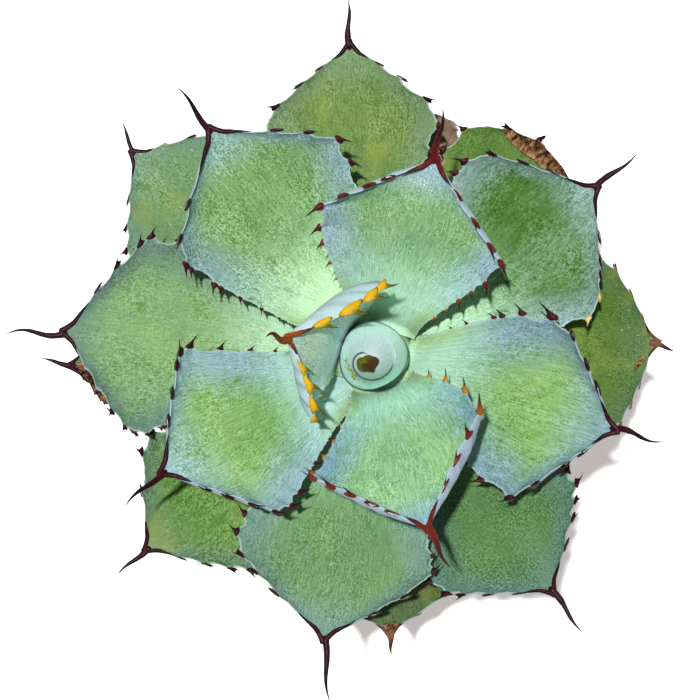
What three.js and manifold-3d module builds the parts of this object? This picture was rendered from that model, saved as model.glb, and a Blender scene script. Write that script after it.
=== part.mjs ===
// A potted butterfly agave: a rosette of broad, cupped, spine-tipped leaves in a golden-angle
// spiral round a furled bud, on a short stem that stands in a plain clay pot of soil.
// Millimetres, +Z up. The origin is the centre of the pot's foot, and +Y is the top of the plan view.

import * as THREE from "three";
import { mergeVertices } from "three/addons/utils/BufferGeometryUtils.js";
import Module from "manifold-3d";

const wasm = await Module();
wasm.setup();

// Driving dimensions

const GAP = 0.3; // clearance between two solids that touch on the real plant

const POT = { height: 140, footRadius: 52, neckRadius: 70, rimRadius: 80, rimDepth: 30, wall: 7.5, floor: 9 };
const DRAIN = { radius: 4.5, ringRadius: 24, count: 3 };
const SOIL_LEVEL = 126;

// The stem: each older leaf leaves it lower and further out than the one before.
const STEM = { footRadius: 17, footLevel: 98, crownLevel: 197, leafPitch: 3.6, leafDepth: 4.2 };
const SEAT = { innerRadius: 16.6, spread: 9, spreadLeaves: 6.5 };

// The mean rise of a leaf above the horizontal falls with its age, in degrees.
const RISE = { oldest: 14, young: 63, fadeLeaves: 3.7, arch: 13, steepest: 88 };

// Half of a leaf's outline, as shares of its greatest half width and of its length.
const OUTLINE = { baseWidth: 0.375, shoulderAt: 0.72, lowerPower: 1.7, upperPower: 1.45, rounding: 0.1 };
const TIP_HALF_WIDTH = 2.2;

// How far a leaf's edges turn up, in degrees: the tips of the younger leaves are rolled furthest.
const CUP = { base: 52, oldest: 22, young: 36, fadeLeaves: 4, tipOldest: 26, tipYoung: 30 };
const CUP_POWER = { blade: 1.35, tip: 2 };

const BLADE = { baseThickness: 6.5, middleThickness: 5, tipThickness: 2.8, edgeThickness: 1.3 };
const COLUMNS = [-1, -0.55, 0, 0.55, 1]; // places across the blade

// Marginal teeth, measured along each edge from the tip down.
const TEETH = { perEdge: 7, first: 20, spacing: 12.5, spacingFade: 0.55, length: 7.5, base: 4.4, notch: 1.6 };

const HEEL = { length: 9, turn: 62 }; // the foot of the leaf, bent into the stem
const SPINE = { radius: 2.3, sides: 6, rings: 7, wave: 0.03, lift: 0.05 };

// One row for each leaf, youngest first: direction of the tip in degrees from +X, distance of the
// blade's tip from the stem's axis, greatest half width over the curve, length of the end spine, and
// the angle by which the spine turns away. A leaf may also be wider on one side (lopsided), more
// tightly folded (fold) or withered thin (flesh).
const LEAVES = [
  { azimuth: 168, reach: 34.5, halfWidth: 38, spine: 22, turn: 6, lopsided: 0.05, fold: 1.14 },
  { azimuth: 287, reach: 70, halfWidth: 41, spine: 27, turn: 10, lopsided: -0.04 },
  { azimuth: 72.5, reach: 81, halfWidth: 42, spine: 27, turn: 8 },
  { azimuth: 209, reach: 97, halfWidth: 41, spine: 23, turn: 12 },
  { azimuth: 342.7, reach: 102.5, halfWidth: 40, spine: 23, turn: 4, lopsided: -0.05 },
  { azimuth: 126, reach: 114, halfWidth: 43, spine: 24, turn: 2 },
  { azimuth: 260, reach: 119, halfWidth: 41, spine: 28, turn: 16 },
  { azimuth: 37, reach: 116, halfWidth: 46, spine: 24, turn: 3 },
  { azimuth: 175.7, reach: 130, halfWidth: 41, spine: 26, turn: 7 },
  { azimuth: 307, reach: 125, halfWidth: 37, spine: 23, turn: 0, lopsided: -0.06 },
  { azimuth: 94.5, reach: 132, halfWidth: 38, spine: 21, turn: -2 },
  { azimuth: 220.5, reach: 127.5, halfWidth: 36, spine: 18, turn: 1 },
  { azimuth: 2.5, reach: 121, halfWidth: 38, spine: 9, turn: -27 },
  { azimuth: 140, reach: 135, halfWidth: 37, spine: 14, turn: -33 },
  { azimuth: 273.3, reach: 120.5, halfWidth: 37, spine: 11, turn: 1 },
  { azimuth: 52.5, reach: 115.5, halfWidth: 36, spine: 4, turn: -20, flesh: 0.8 },
  { azimuth: 182, reach: 132, halfWidth: 35, spine: 14, turn: -15 },
  { azimuth: 104, reach: 120, halfWidth: 39, spine: 7, turn: 0, flesh: 0.6 },
];

const BUD = { radius: 14.2, footRadius: 12, height: 82, cut: 0.92, twist: 300, lap: 0.12, spine: 18 };
const BUD_LEAN = { x: -2, y: -2.5 };

const COLOURS = {
  leafYoung: 0x9fc3a4,
  leafOld: 0x6f9466,
  spineYoung: 0x8c2a1c,
  spineOld: 0x3a1420,
  bud: 0xa9cbbd,
  budSpine: 0x7c6a1e,
  stem: 0xa9b98a,
  soil: 0x4a3a2c,
  pot: 0xb5653f,
};

// Helpers

const DEGREE = Math.PI / 180;
const UP = new THREE.Vector3(0, 0, 1);
const mix = (a, b, share) => a + (b - a) * share;
const clamp01 = (x) => Math.min(1, Math.max(0, x));
const smooth = (x) => clamp01(x) ** 2 * (3 - 2 * clamp01(x));

// The lower of two values, rounded where they meet.
function roundedMin(a, b, rounding) {
  const share = clamp01(0.5 + (0.5 * (b - a)) / rounding);
  return mix(b, a, share) - rounding * share * (1 - share);
}

// The solid of a closed three.js geometry.
function solidOf(geometry) {
  const bare = new THREE.BufferGeometry();
  bare.setAttribute("position", geometry.getAttribute("position"));
  bare.setIndex(geometry.index);
  const merged = mergeVertices(bare, 1e-4);
  return new wasm.Manifold(
    new wasm.Mesh({
      numProp: 3,
      vertProperties: merged.getAttribute("position").array,
      triVerts: new Uint32Array(merged.index.array),
    }),
  );
}

// The solid of a closed surface given by its points and by three numbers for each triangle.
function solidFrom(points, triangles) {
  const geometry = new THREE.BufferGeometry().setFromPoints(points);
  geometry.setIndex(triangles);
  return solidOf(geometry);
}

// A solid as a three.js mesh in its own material.
function meshOf(solid, name, colour, roughness) {
  const { numVert, numProp, vertProperties, triVerts } = solid.getMesh();
  const positions = new Float32Array(numVert * 3);
  for (let i = 0; i < numVert; i++) {
    positions.set(vertProperties.subarray(i * numProp, i * numProp + 3), i * 3);
  }
  const geometry = new THREE.BufferGeometry();
  geometry.setAttribute("position", new THREE.BufferAttribute(positions, 3));
  geometry.setIndex(new THREE.BufferAttribute(triVerts, 1));
  geometry.computeVertexNormals();
  const material = new THREE.MeshStandardMaterial({ color: colour, roughness, metalness: 0 });
  const mesh = new THREE.Mesh(geometry, material);
  mesh.name = name;
  return mesh;
}

// A tapering horn: rings of points round a curve, closed by a flat base and a point. The base faces
// straight back along the given direction.
function hornSolid(centres, radii, along, across) {
  const { sides } = SPINE;
  const points = [];
  const triangles = [];
  const last = centres.length - 1;
  for (let i = 0; i < last; i++) {
    const ahead = i > 0 ? centres[i + 1].clone().sub(centres[i - 1]).normalize() : along;
    const first = across.clone().addScaledVector(ahead, -across.dot(ahead)).normalize();
    const second = ahead.clone().cross(first);
    for (let k = 0; k < sides; k++) {
      const angle = (2 * Math.PI * k) / sides;
      const point = centres[i].clone().addScaledVector(first, radii[i] * Math.cos(angle));
      points.push(point.addScaledVector(second, radii[i] * Math.sin(angle)));
    }
  }
  points.push(centres[last].clone());
  for (let k = 0; k < sides; k++) {
    const next = (k + 1) % sides;
    for (let i = 0; i < last - 1; i++) {
      const [a, b] = [i * sides + k, i * sides + next];
      triangles.push(a, b, b + sides, a, b + sides, a + sides);
    }
    triangles.push((last - 1) * sides + k, (last - 1) * sides + next, last * sides);
    if (k > 0 && k < sides - 1) {
      triangles.push(0, next, k);
    }
  }
  return solidFrom(points, triangles);
}

// The triangles between two chains of points that run side by side, seen from the side that faces
// out. Each link of a chain is { s, index }, and the chains may have different numbers of links.
function stitch(left, right, facesOut) {
  const triangles = [];
  let [i, j] = [0, 0];
  while (i < left.length - 1 || j < right.length - 1) {
    const leftNext = i < left.length - 1 ? left[i + 1].s : Infinity;
    const rightNext = j < right.length - 1 ? right[j + 1].s : Infinity;
    const corners = [left[i].index, 0, right[j].index];
    if (leftNext <= rightNext) {
      corners[1] = left[++i].index;
    } else {
      corners[1] = right[++j].index;
    }
    triangles.push(...(facesOut ? corners : corners.reverse()));
  }
  return triangles;
}

// The shape of one leaf

class Leaf {
  constructor(row, index) {
    const { azimuth, reach, halfWidth, spine, turn, lopsided = 0, fold = 1, flesh = 1 } = row;
    Object.assign(this, { reach, halfWidth, spine, lopsided, flesh, turn: turn * DEGREE });
    const meanRise = RISE.oldest + RISE.young * Math.exp(-index / RISE.fadeLeaves);
    this.baseRise = Math.min(RISE.steepest, meanRise + RISE.arch) * DEGREE;
    this.tipRise = (meanRise - RISE.arch) * DEGREE;
    const youth = Math.exp(-index / CUP.fadeLeaves);
    this.bladeCup = fold * (CUP.oldest + CUP.young * youth) * DEGREE;
    this.tipCup = this.bladeCup + fold * (CUP.tipOldest + CUP.tipYoung * youth) * DEGREE;
    this.seatRadius = SEAT.innerRadius + SEAT.spread * (1 - Math.exp(-index / SEAT.spreadLeaves));
    this.seatLevel = STEM.crownLevel - STEM.leafPitch * index;
    const turned = this.tipRise - this.baseRise;
    this.length = ((reach - this.seatRadius) * turned) / (Math.sin(this.tipRise) - Math.sin(this.baseRise));
    this.outward = new THREE.Vector3(Math.cos(azimuth * DEGREE), Math.sin(azimuth * DEGREE), 0);
    this.across = UP.clone().cross(this.outward);
    this.heelShare = -HEEL.length / this.length;
  }

  // The rise of the midline at a share of the leaf's length, which is below zero in the heel.
  rise(s) {
    if (s >= 0) {
      return mix(this.baseRise, this.tipRise, s);
    }
    return this.baseRise - (s / this.heelShare) * HEEL.turn * DEGREE;
  }

  // The midline: an arc from the stem to the tip, and below it the tight arc of the heel.
  centre(s) {
    const inHeel = s < 0;
    const turned = inHeel ? HEEL.turn * DEGREE : this.tipRise - this.baseRise;
    const bend = turned / (inHeel ? HEEL.length : this.length);
    const radius = this.seatRadius + (Math.sin(this.rise(s)) - Math.sin(this.baseRise)) / bend;
    const level = this.seatLevel - (Math.cos(this.rise(s)) - Math.cos(this.baseRise)) / bend;
    return this.outward.clone().multiplyScalar(radius).addScaledVector(UP, level);
  }

  // Half the width measured over the curve of the section.
  halfWidthAt(s) {
    const { baseWidth, shoulderAt, lowerPower, upperPower, rounding } = OUTLINE;
    const lower = baseWidth + (1 - baseWidth) * (Math.max(0, s) / shoulderAt) ** lowerPower;
    const upper = 1 - (1 - clamp01((1 - s) / (1 - shoulderAt))) ** upperPower;
    const share = roundedMin(lower, upper, rounding) / (1 - rounding / 4);
    return Math.max(TIP_HALF_WIDTH, this.halfWidth * share);
  }

  cupAt(s) {
    const blade = mix(CUP.base * DEGREE, this.bladeCup, smooth(s / 0.45));
    return mix(blade, this.tipCup, smooth((s - 0.55) / 0.45));
  }

  thicknessAt(s, u) {
    const { baseThickness, middleThickness, tipThickness, edgeThickness } = BLADE;
    const lower = mix(baseThickness, middleThickness, smooth(s / 0.5));
    const middle = this.flesh * mix(lower, tipThickness, smooth((s - 0.5) / 0.5));
    return mix(edgeThickness, middle, 1 - Math.abs(u) ** 1.6);
  }

  // The frame of the blade's middle surface at a place along it and across it, with the edge drawn in
  // by the given trim.
  place(s, u, trim = 0) {
    const rise = this.rise(s);
    const along = this.outward.clone().multiplyScalar(Math.cos(rise)).addScaledVector(UP, Math.sin(rise));
    const inward = this.outward.clone().multiplyScalar(-Math.sin(rise)).addScaledVector(UP, Math.cos(rise));
    const side = Math.sign(u);
    const span = (this.halfWidthAt(s) * (1 + side * this.lopsided) - trim) * Math.abs(u);
    const power = mix(CUP_POWER.blade, CUP_POWER.tip, smooth((s - 0.5) / 0.5));
    const turnAt = (share) => this.cupAt(s) * (Math.abs(u) * share) ** power;
    const steps = 12;
    let [sideways, lift] = [0, 0];
    for (let k = 0; k < steps; k++) {
      sideways += (Math.cos(turnAt((k + 0.5) / steps)) * span) / steps;
      lift += (Math.sin(turnAt((k + 0.5) / steps)) * span) / steps;
    }
    const turn = turnAt(1);
    const point = this.centre(s).addScaledVector(this.across, side * sideways).addScaledVector(inward, lift);
    const normal = inward.clone().multiplyScalar(Math.cos(turn));
    normal.addScaledVector(this.across, -side * Math.sin(turn));
    const edge = inward.clone().multiplyScalar(Math.sin(turn));
    edge.addScaledVector(this.across, side * Math.cos(turn));
    return { point, along, normal, edge };
  }

  // The shares of the leaf's length that lie at the given distances down its edge from the tip.
  sharesAt(distances) {
    const shares = [];
    const steps = 300;
    let run = 0;
    let before = this.place(1, 1).point;
    for (let i = 1; i <= steps && shares.length < distances.length; i++) {
      const s = 1 - i / steps;
      const here = this.place(s, 1).point;
      const step = here.distanceTo(before);
      while (shares.length < distances.length && run + step >= distances[shares.length]) {
        shares.push(s + (run + step - distances[shares.length]) / step / steps);
      }
      run += step;
      before = here;
    }
    return shares;
  }

  toothSize(s) {
    return mix(0.35, 1, smooth((s - 0.1) / 0.4)) * mix(1, 0.7, smooth((s - 0.75) / 0.25));
  }

  // The stations down the edge, tip first. A tooth stands between its two stations, and the edge is
  // notched half way to the next. All but the teeth's stations also run right across the blade.
  edgeStations() {
    const distances = [TEETH.first / 2];
    let run = TEETH.first;
    for (let k = 0; k < TEETH.perEdge; k++) {
      const spacing = TEETH.spacing - TEETH.spacingFade * k;
      distances.push(run - TEETH.base / 2, run + TEETH.base / 2, run + spacing / 2);
      run += spacing;
    }
    const stations = this.sharesAt(distances).map((s, k) => {
      const isNotch = k > 0 && k % 3 === 0;
      return { s, trim: isNotch ? TEETH.notch : 0, toothBelow: k % 3 === 1, runsAcross: k % 3 === 0 };
    });
    const lowest = stations[stations.length - 1].s;
    const plain = (s) => ({ s, trim: 0, toothBelow: false, runsAcross: true });
    return [plain(1), ...stations, ...[lowest / 2, 0, this.heelShare / 2, this.heelShare].map(plain)];
  }

  // The blade with its teeth, drawn as chains of points along it that are stitched together.
  bladeSolid() {
    const edge = this.edgeStations().reverse();
    const inner = edge.filter(({ runsAcross }) => runsAcross);
    const points = [];
    const chain = (stations, u, share) =>
      stations.map(({ s, trim }) => {
        const { point, normal } = this.place(s, u, trim);
        points.push(point.addScaledVector(normal, share * this.thicknessAt(s, u)));
        return { s, index: points.length - 1 };
      });
    const chains = COLUMNS.map((u) => {
      const stations = Math.abs(u) === 1 ? edge : inner;
      return { upper: chain(stations, u, 0.4), lower: chain(stations, u, -0.6) };
    });

    const triangles = [];
    const quad = (a, b, c, d) => triangles.push(a, b, c, a, c, d);
    for (let j = 0; j < chains.length - 1; j++) {
      const [here, next] = [chains[j], chains[j + 1]];
      triangles.push(...stitch(here.upper, next.upper, true));
      triangles.push(...stitch(here.lower, next.lower, false));
      quad(...[here.upper, next.upper, next.lower, here.lower].map((links) => links[0].index));
      quad(...[here.upper, here.lower, next.lower, next.upper].map((links) => links.at(-1).index));
    }
    for (const side of [-1, 1]) {
      const { upper, lower } = chains[side < 0 ? 0 : chains.length - 1];
      for (let i = 0; i < edge.length - 1; i++) {
        const base = [upper[i], upper[i + 1], lower[i + 1], lower[i]].map((link) => link.index);
        if (side < 0) {
          base.reverse();
        }
        if (edge[i + 1].toothBelow) {
          this.growTooth((edge[i].s + edge[i + 1].s) / 2, side, base, points, triangles);
        } else {
          quad(...base);
        }
      }
    }
    return solidFrom(points, triangles);
  }

  // A tooth: a flat hook that grows from four points of the edge and bends back towards the stem.
  growTooth(s, side, base, points, triangles) {
    const { point, along, normal, edge } = this.place(s, side);
    const size = TEETH.length * this.toothSize(s);
    const bend = point.clone().addScaledVector(edge, size * 0.5).addScaledVector(along, -size * 0.12);
    const tip = point.clone().addScaledVector(edge, size * 0.85).addScaledVector(along, -size * 0.55);
    const corners = [[-1, 1], [1, 1], [1, -1], [-1, -1]];
    if (side < 0) {
      corners.reverse();
    }
    const first = points.length;
    for (const [alongSign, normalSign] of corners) {
      const corner = bend.clone().addScaledVector(along, alongSign * TEETH.base * 0.2);
      points.push(corner.addScaledVector(normal, normalSign * 0.4));
    }
    points.push(tip);
    for (let k = 0; k < base.length; k++) {
      const next = (k + 1) % base.length;
      triangles.push(base[k], base[next], first + next, base[k], first + next, first + k);
      triangles.push(first + k, first + next, first + base.length);
    }
  }

  // The end spine: a horn that carries on from the tip, swings sideways and lifts a little.
  spineSolid() {
    const { point, along, normal } = this.place(1, 0);
    const centres = [];
    const radii = [];
    for (let i = 0; i < SPINE.rings; i++) {
      const share = i / (SPINE.rings - 1);
      const swing = Math.sin(this.turn) * share ** 1.3 + SPINE.wave * Math.sin(2 * Math.PI * share);
      const centre = point.clone().addScaledVector(along, GAP + this.spine * share);
      centre.addScaledVector(this.across, this.spine * swing);
      centres.push(centre.addScaledVector(normal, this.spine * SPINE.lift * share ** 2));
      radii.push(SPINE.radius * (1 - share) ** 0.8);
    }
    return hornSolid(centres, radii, along, this.across);
  }
}

// Turned pieces

// A profile of [radius, level] pairs, from the axis at the bottom to the axis at the top, turned round
// the Z axis.
function turnedSolid(profile, segments) {
  const points = profile.map(([radius, level]) => new THREE.Vector2(radius, level));
  const geometry = new THREE.LatheGeometry(points, segments);
  geometry.rotateX(Math.PI / 2);
  return solidOf(geometry);
}

// The stem's profile, larger all over by the given clearance.
function stemProfile(clearance) {
  const profile = [[0, STEM.footLevel - clearance]];
  profile.push([STEM.footRadius + clearance, STEM.footLevel - clearance]);
  profile.push([STEM.footRadius + clearance, SOIL_LEVEL + 3]);
  const oldest = LEAVES.length - 1;
  for (const index of [oldest, 12, 7, 3, 1]) {
    const { seatRadius, seatLevel } = new Leaf(LEAVES[index], index);
    profile.push([seatRadius - STEM.leafDepth + clearance, seatLevel - 4]);
  }
  profile.push([SEAT.innerRadius - STEM.leafDepth + clearance, STEM.crownLevel + clearance]);
  profile.push([0, STEM.crownLevel + clearance]);
  return profile;
}

function innerPotRadius(level) {
  const share = (level - POT.floor) / (POT.height - POT.floor);
  return mix(POT.footRadius - POT.wall, POT.rimRadius - POT.wall - 2.5, share);
}

function potSolid() {
  const rimFoot = POT.height - POT.rimDepth;
  const profile = [
    [0, 0],
    [POT.footRadius - 1.5, 0],
    [POT.footRadius, 1.5],
    [POT.neckRadius, rimFoot],
    [POT.rimRadius - 2, rimFoot],
    [POT.rimRadius - 1, rimFoot + 1.5],
    [POT.rimRadius, POT.height - 2.5],
    [POT.rimRadius - 2, POT.height],
    [innerPotRadius(POT.height) + 2, POT.height],
    [innerPotRadius(POT.height - 3), POT.height - 3],
    [innerPotRadius(POT.floor), POT.floor],
    [0, POT.floor],
  ];
  let pot = turnedSolid(profile, 36);
  for (let k = 0; k < DRAIN.count; k++) {
    const angle = (2 * Math.PI * k) / DRAIN.count;
    const drill = new THREE.CylinderGeometry(DRAIN.radius, DRAIN.radius, 4 * POT.floor, 16);
    drill.rotateX(Math.PI / 2);
    drill.translate(DRAIN.ringRadius * Math.cos(angle), DRAIN.ringRadius * Math.sin(angle), 0);
    pot = pot.subtract(solidOf(drill));
  }
  return pot;
}

function soilSolid() {
  const bottom = POT.floor + GAP;
  const hole = STEM.footRadius + GAP;
  const profile = [
    [0, bottom],
    [innerPotRadius(bottom) - GAP, bottom],
    [innerPotRadius(SOIL_LEVEL - 2) - GAP, SOIL_LEVEL - 2],
    [mix(hole, innerPotRadius(SOIL_LEVEL), 0.6), SOIL_LEVEL + 0.5],
    [hole, SOIL_LEVEL + 2],
    [hole, STEM.footLevel - GAP],
    [0, STEM.footLevel - GAP],
  ];
  return turnedSolid(profile, 32);
}

// The bud: young leaves rolled round each other into a cone, each edge lapping over the next.
function budPoint(share, angle) {
  const swell = mix(BUD.footRadius / BUD.radius, 1, smooth(share / 0.3));
  const phase = (angle / DEGREE - BUD.twist * share) / 360;
  const lap = 1 + BUD.lap * (phase - Math.floor(phase) - 0.5);
  const radius = BUD.radius * swell * lap * (1 - share ** 1.6) ** 0.8;
  return new THREE.Vector3(
    radius * Math.cos(angle) + BUD_LEAN.x * share ** 2,
    radius * Math.sin(angle) + BUD_LEAN.y * share ** 2,
    STEM.crownLevel + GAP + BUD.height * share,
  );
}

function budSolid() {
  const [rows, sides] = [9, 18];
  const points = [];
  const triangles = [];
  for (let i = 0; i <= rows; i++) {
    for (let k = 0; k < sides; k++) {
      points.push(budPoint((BUD.cut * i) / rows, (2 * Math.PI * k) / sides));
    }
  }
  const top = rows * sides;
  for (let k = 0; k < sides; k++) {
    const next = (k + 1) % sides;
    for (let i = 0; i < rows; i++) {
      const [a, b] = [i * sides + k, i * sides + next];
      triangles.push(a, b, b + sides, a, b + sides, a + sides);
    }
    if (k > 0 && k < sides - 1) {
      triangles.push(0, next, k, top, top + k, top + next);
    }
  }
  return solidFrom(points, triangles);
}

function budSpineSolid() {
  const start = budPoint(BUD.cut, 0).add(budPoint(BUD.cut, Math.PI)).divideScalar(2);
  const radius = 0.94 * BUD.radius * (1 - BUD.cut ** 1.6) ** 0.8;
  const centres = [];
  const radii = [];
  for (let i = 0; i < SPINE.rings; i++) {
    const share = i / (SPINE.rings - 1);
    const lean = new THREE.Vector3(BUD_LEAN.x, BUD_LEAN.y, 0).multiplyScalar(0.5 * share);
    centres.push(start.clone().add(lean).addScaledVector(UP, GAP + BUD.spine * share));
    radii.push(radius * (1 - share) ** 0.75);
  }
  return hornSolid(centres, radii, UP, new THREE.Vector3(1, 0, 0));
}

// The plant in its pot

const plant = new THREE.Group();
const stemRoom = turnedSolid(stemProfile(GAP), 20);

LEAVES.forEach((row, index) => {
  const leaf = new Leaf(row, index);
  const name = "leaf_" + String(index + 1).padStart(2, "0");
  const age = index / (LEAVES.length - 1);
  const green = new THREE.Color(COLOURS.leafYoung).lerp(new THREE.Color(COLOURS.leafOld), age);
  const horn = new THREE.Color(COLOURS.spineYoung).lerp(new THREE.Color(COLOURS.spineOld), age);
  plant.add(meshOf(leaf.bladeSolid().subtract(stemRoom), name, green, 0.6));
  plant.add(meshOf(leaf.spineSolid(), name + "_spine", horn, 0.4));
});

plant.add(meshOf(budSolid(), "bud", COLOURS.bud, 0.55));
plant.add(meshOf(budSpineSolid(), "bud_spine", COLOURS.budSpine, 0.4));
plant.add(meshOf(turnedSolid(stemProfile(0), 20), "stem", COLOURS.stem, 0.7));
plant.add(meshOf(soilSolid(), "soil", COLOURS.soil, 0.95));
plant.add(meshOf(potSolid(), "pot", COLOURS.pot, 0.85));

export default plant;
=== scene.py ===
"""The looks of a potted butterfly agave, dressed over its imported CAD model.

Lengths in the dataclasses are millimetres and angles are degrees, as in the CAD source. The meshes
are in metres, in the same frame: +Z up, with the origin at the centre of the pot's foot.
"""

import logging
import math
from dataclasses import dataclass, field
from enum import Enum

import bpy
import numpy as np
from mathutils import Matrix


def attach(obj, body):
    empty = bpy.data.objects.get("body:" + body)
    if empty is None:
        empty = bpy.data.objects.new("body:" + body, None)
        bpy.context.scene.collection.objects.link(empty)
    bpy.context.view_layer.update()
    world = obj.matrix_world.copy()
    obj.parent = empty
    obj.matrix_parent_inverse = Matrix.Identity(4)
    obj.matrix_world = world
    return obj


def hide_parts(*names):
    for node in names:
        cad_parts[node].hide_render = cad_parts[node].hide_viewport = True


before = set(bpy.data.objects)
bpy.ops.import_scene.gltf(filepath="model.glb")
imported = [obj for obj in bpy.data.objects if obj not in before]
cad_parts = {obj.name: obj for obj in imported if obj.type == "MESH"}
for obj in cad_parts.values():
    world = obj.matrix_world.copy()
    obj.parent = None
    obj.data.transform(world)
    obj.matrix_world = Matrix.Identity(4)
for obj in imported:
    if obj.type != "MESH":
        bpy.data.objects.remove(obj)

MM = 0.001
OWN_SHARE = 0.66
WHOLE_TURN = 2 * math.pi
Triple = tuple[float, float, float]
Marks = tuple[tuple[float, float], ...]

log = logging.getLogger("agave")


def mix(low: float | np.ndarray, high: float | np.ndarray, share: float | np.ndarray) -> float | np.ndarray:
    """Return the value at a share of the way from low to high."""
    return low + (high - low) * share


def smooth(share: np.ndarray | float) -> np.ndarray:
    """Return a share held between 0 and 1, with a soft start and end."""
    held = np.clip(share, 0.0, 1.0)
    return held * held * (3.0 - 2.0 * held)


def bump(offset: np.ndarray, width: float, power: int = 2) -> np.ndarray:
    """Return 1 where an offset is 0, falling to 0 over about a width."""
    return np.exp(-((offset / width) ** power))


def unit(vector: np.ndarray) -> np.ndarray:
    """Return vectors with their length made 1."""
    return vector / np.linalg.norm(vector, axis=-1, keepdims=True)


def ripple(first: np.ndarray, second: np.ndarray, seed: int, octaves: int = 3) -> np.ndarray:
    """Give a smooth random field over two coordinates.

    Args:
        first: The first coordinate, in waves.
        second: The second coordinate, in waves.
        seed: Picks the field.
        octaves: How many finer layers are added.

    Returns:
        Values of about -1 to 1.
    """
    rng = np.random.default_rng(seed)
    total, weight, reach = 0.0, 0.5, 1.0
    for _ in range(octaves):
        for _ in range(3):
            angle, phase = rng.uniform(0, WHOLE_TURN, 2)
            line = first * math.cos(angle) + second * math.sin(angle)
            total = total + weight * np.sin(WHOLE_TURN * line * reach + phase) / 1.8
        weight *= 0.55
        reach *= 1.9
    return total


def own(colour: Triple) -> Triple:
    """Return a surface's own colour, from the one that it shows in this studio's light."""
    return tuple(part * OWN_SHARE for part in colour)


class Wire:
    """One output of a node, on which Python's arithmetic adds Math nodes."""

    def __init__(self, brush: "Brush", socket: bpy.types.NodeSocket) -> None:
        """Keep the output and the tree that it is in."""
        self.brush = brush
        self.socket = socket

    def math(self, operation: str, *values: "Wire | float", clamp: bool = False) -> "Wire":
        """Add a Math node.

        Args:
            operation: The node's operation.
            values: Its inputs, in order.
            clamp: Holds the result between 0 and 1.

        Returns:
            The node's output.
        """
        settings = {"operation": operation, "use_clamp": clamp}
        return self.brush.add("ShaderNodeMath", settings, dict(enumerate(values)))

    def __add__(self, other: "Wire | float") -> "Wire":
        """Return the sum."""
        return self.math("ADD", self, other)

    def __radd__(self, other: float) -> "Wire":
        """Return the sum, with the number first."""
        return self.math("ADD", other, self)

    def __sub__(self, other: "Wire | float") -> "Wire":
        """Return the difference."""
        return self.math("SUBTRACT", self, other)

    def __rsub__(self, other: float) -> "Wire":
        """Return the difference, with the number first."""
        return self.math("SUBTRACT", other, self)

    def __mul__(self, other: "Wire | float") -> "Wire":
        """Return the product."""
        return self.math("MULTIPLY", self, other)

    def __rmul__(self, other: float) -> "Wire":
        """Return the product, with the number first."""
        return self.math("MULTIPLY", other, self)

    def held(self) -> "Wire":
        """Return the value held between 0 and 1."""
        return self.math("ADD", self, 0.0, clamp=True)

    def between(self, low: float, high: float) -> "Wire":
        """Return 0 at low and 1 at high, with a soft start and end."""
        inputs = {0: self, 1: low, 2: high}
        return self.brush.add("ShaderNodeMapRange", {"interpolation_type": "SMOOTHSTEP"}, inputs)

    def outside(self, low: float, high: float) -> "Wire":
        """Return 1 at low and 0 at high, with a soft start and end."""
        return 1.0 - self.between(low, high)


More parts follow.
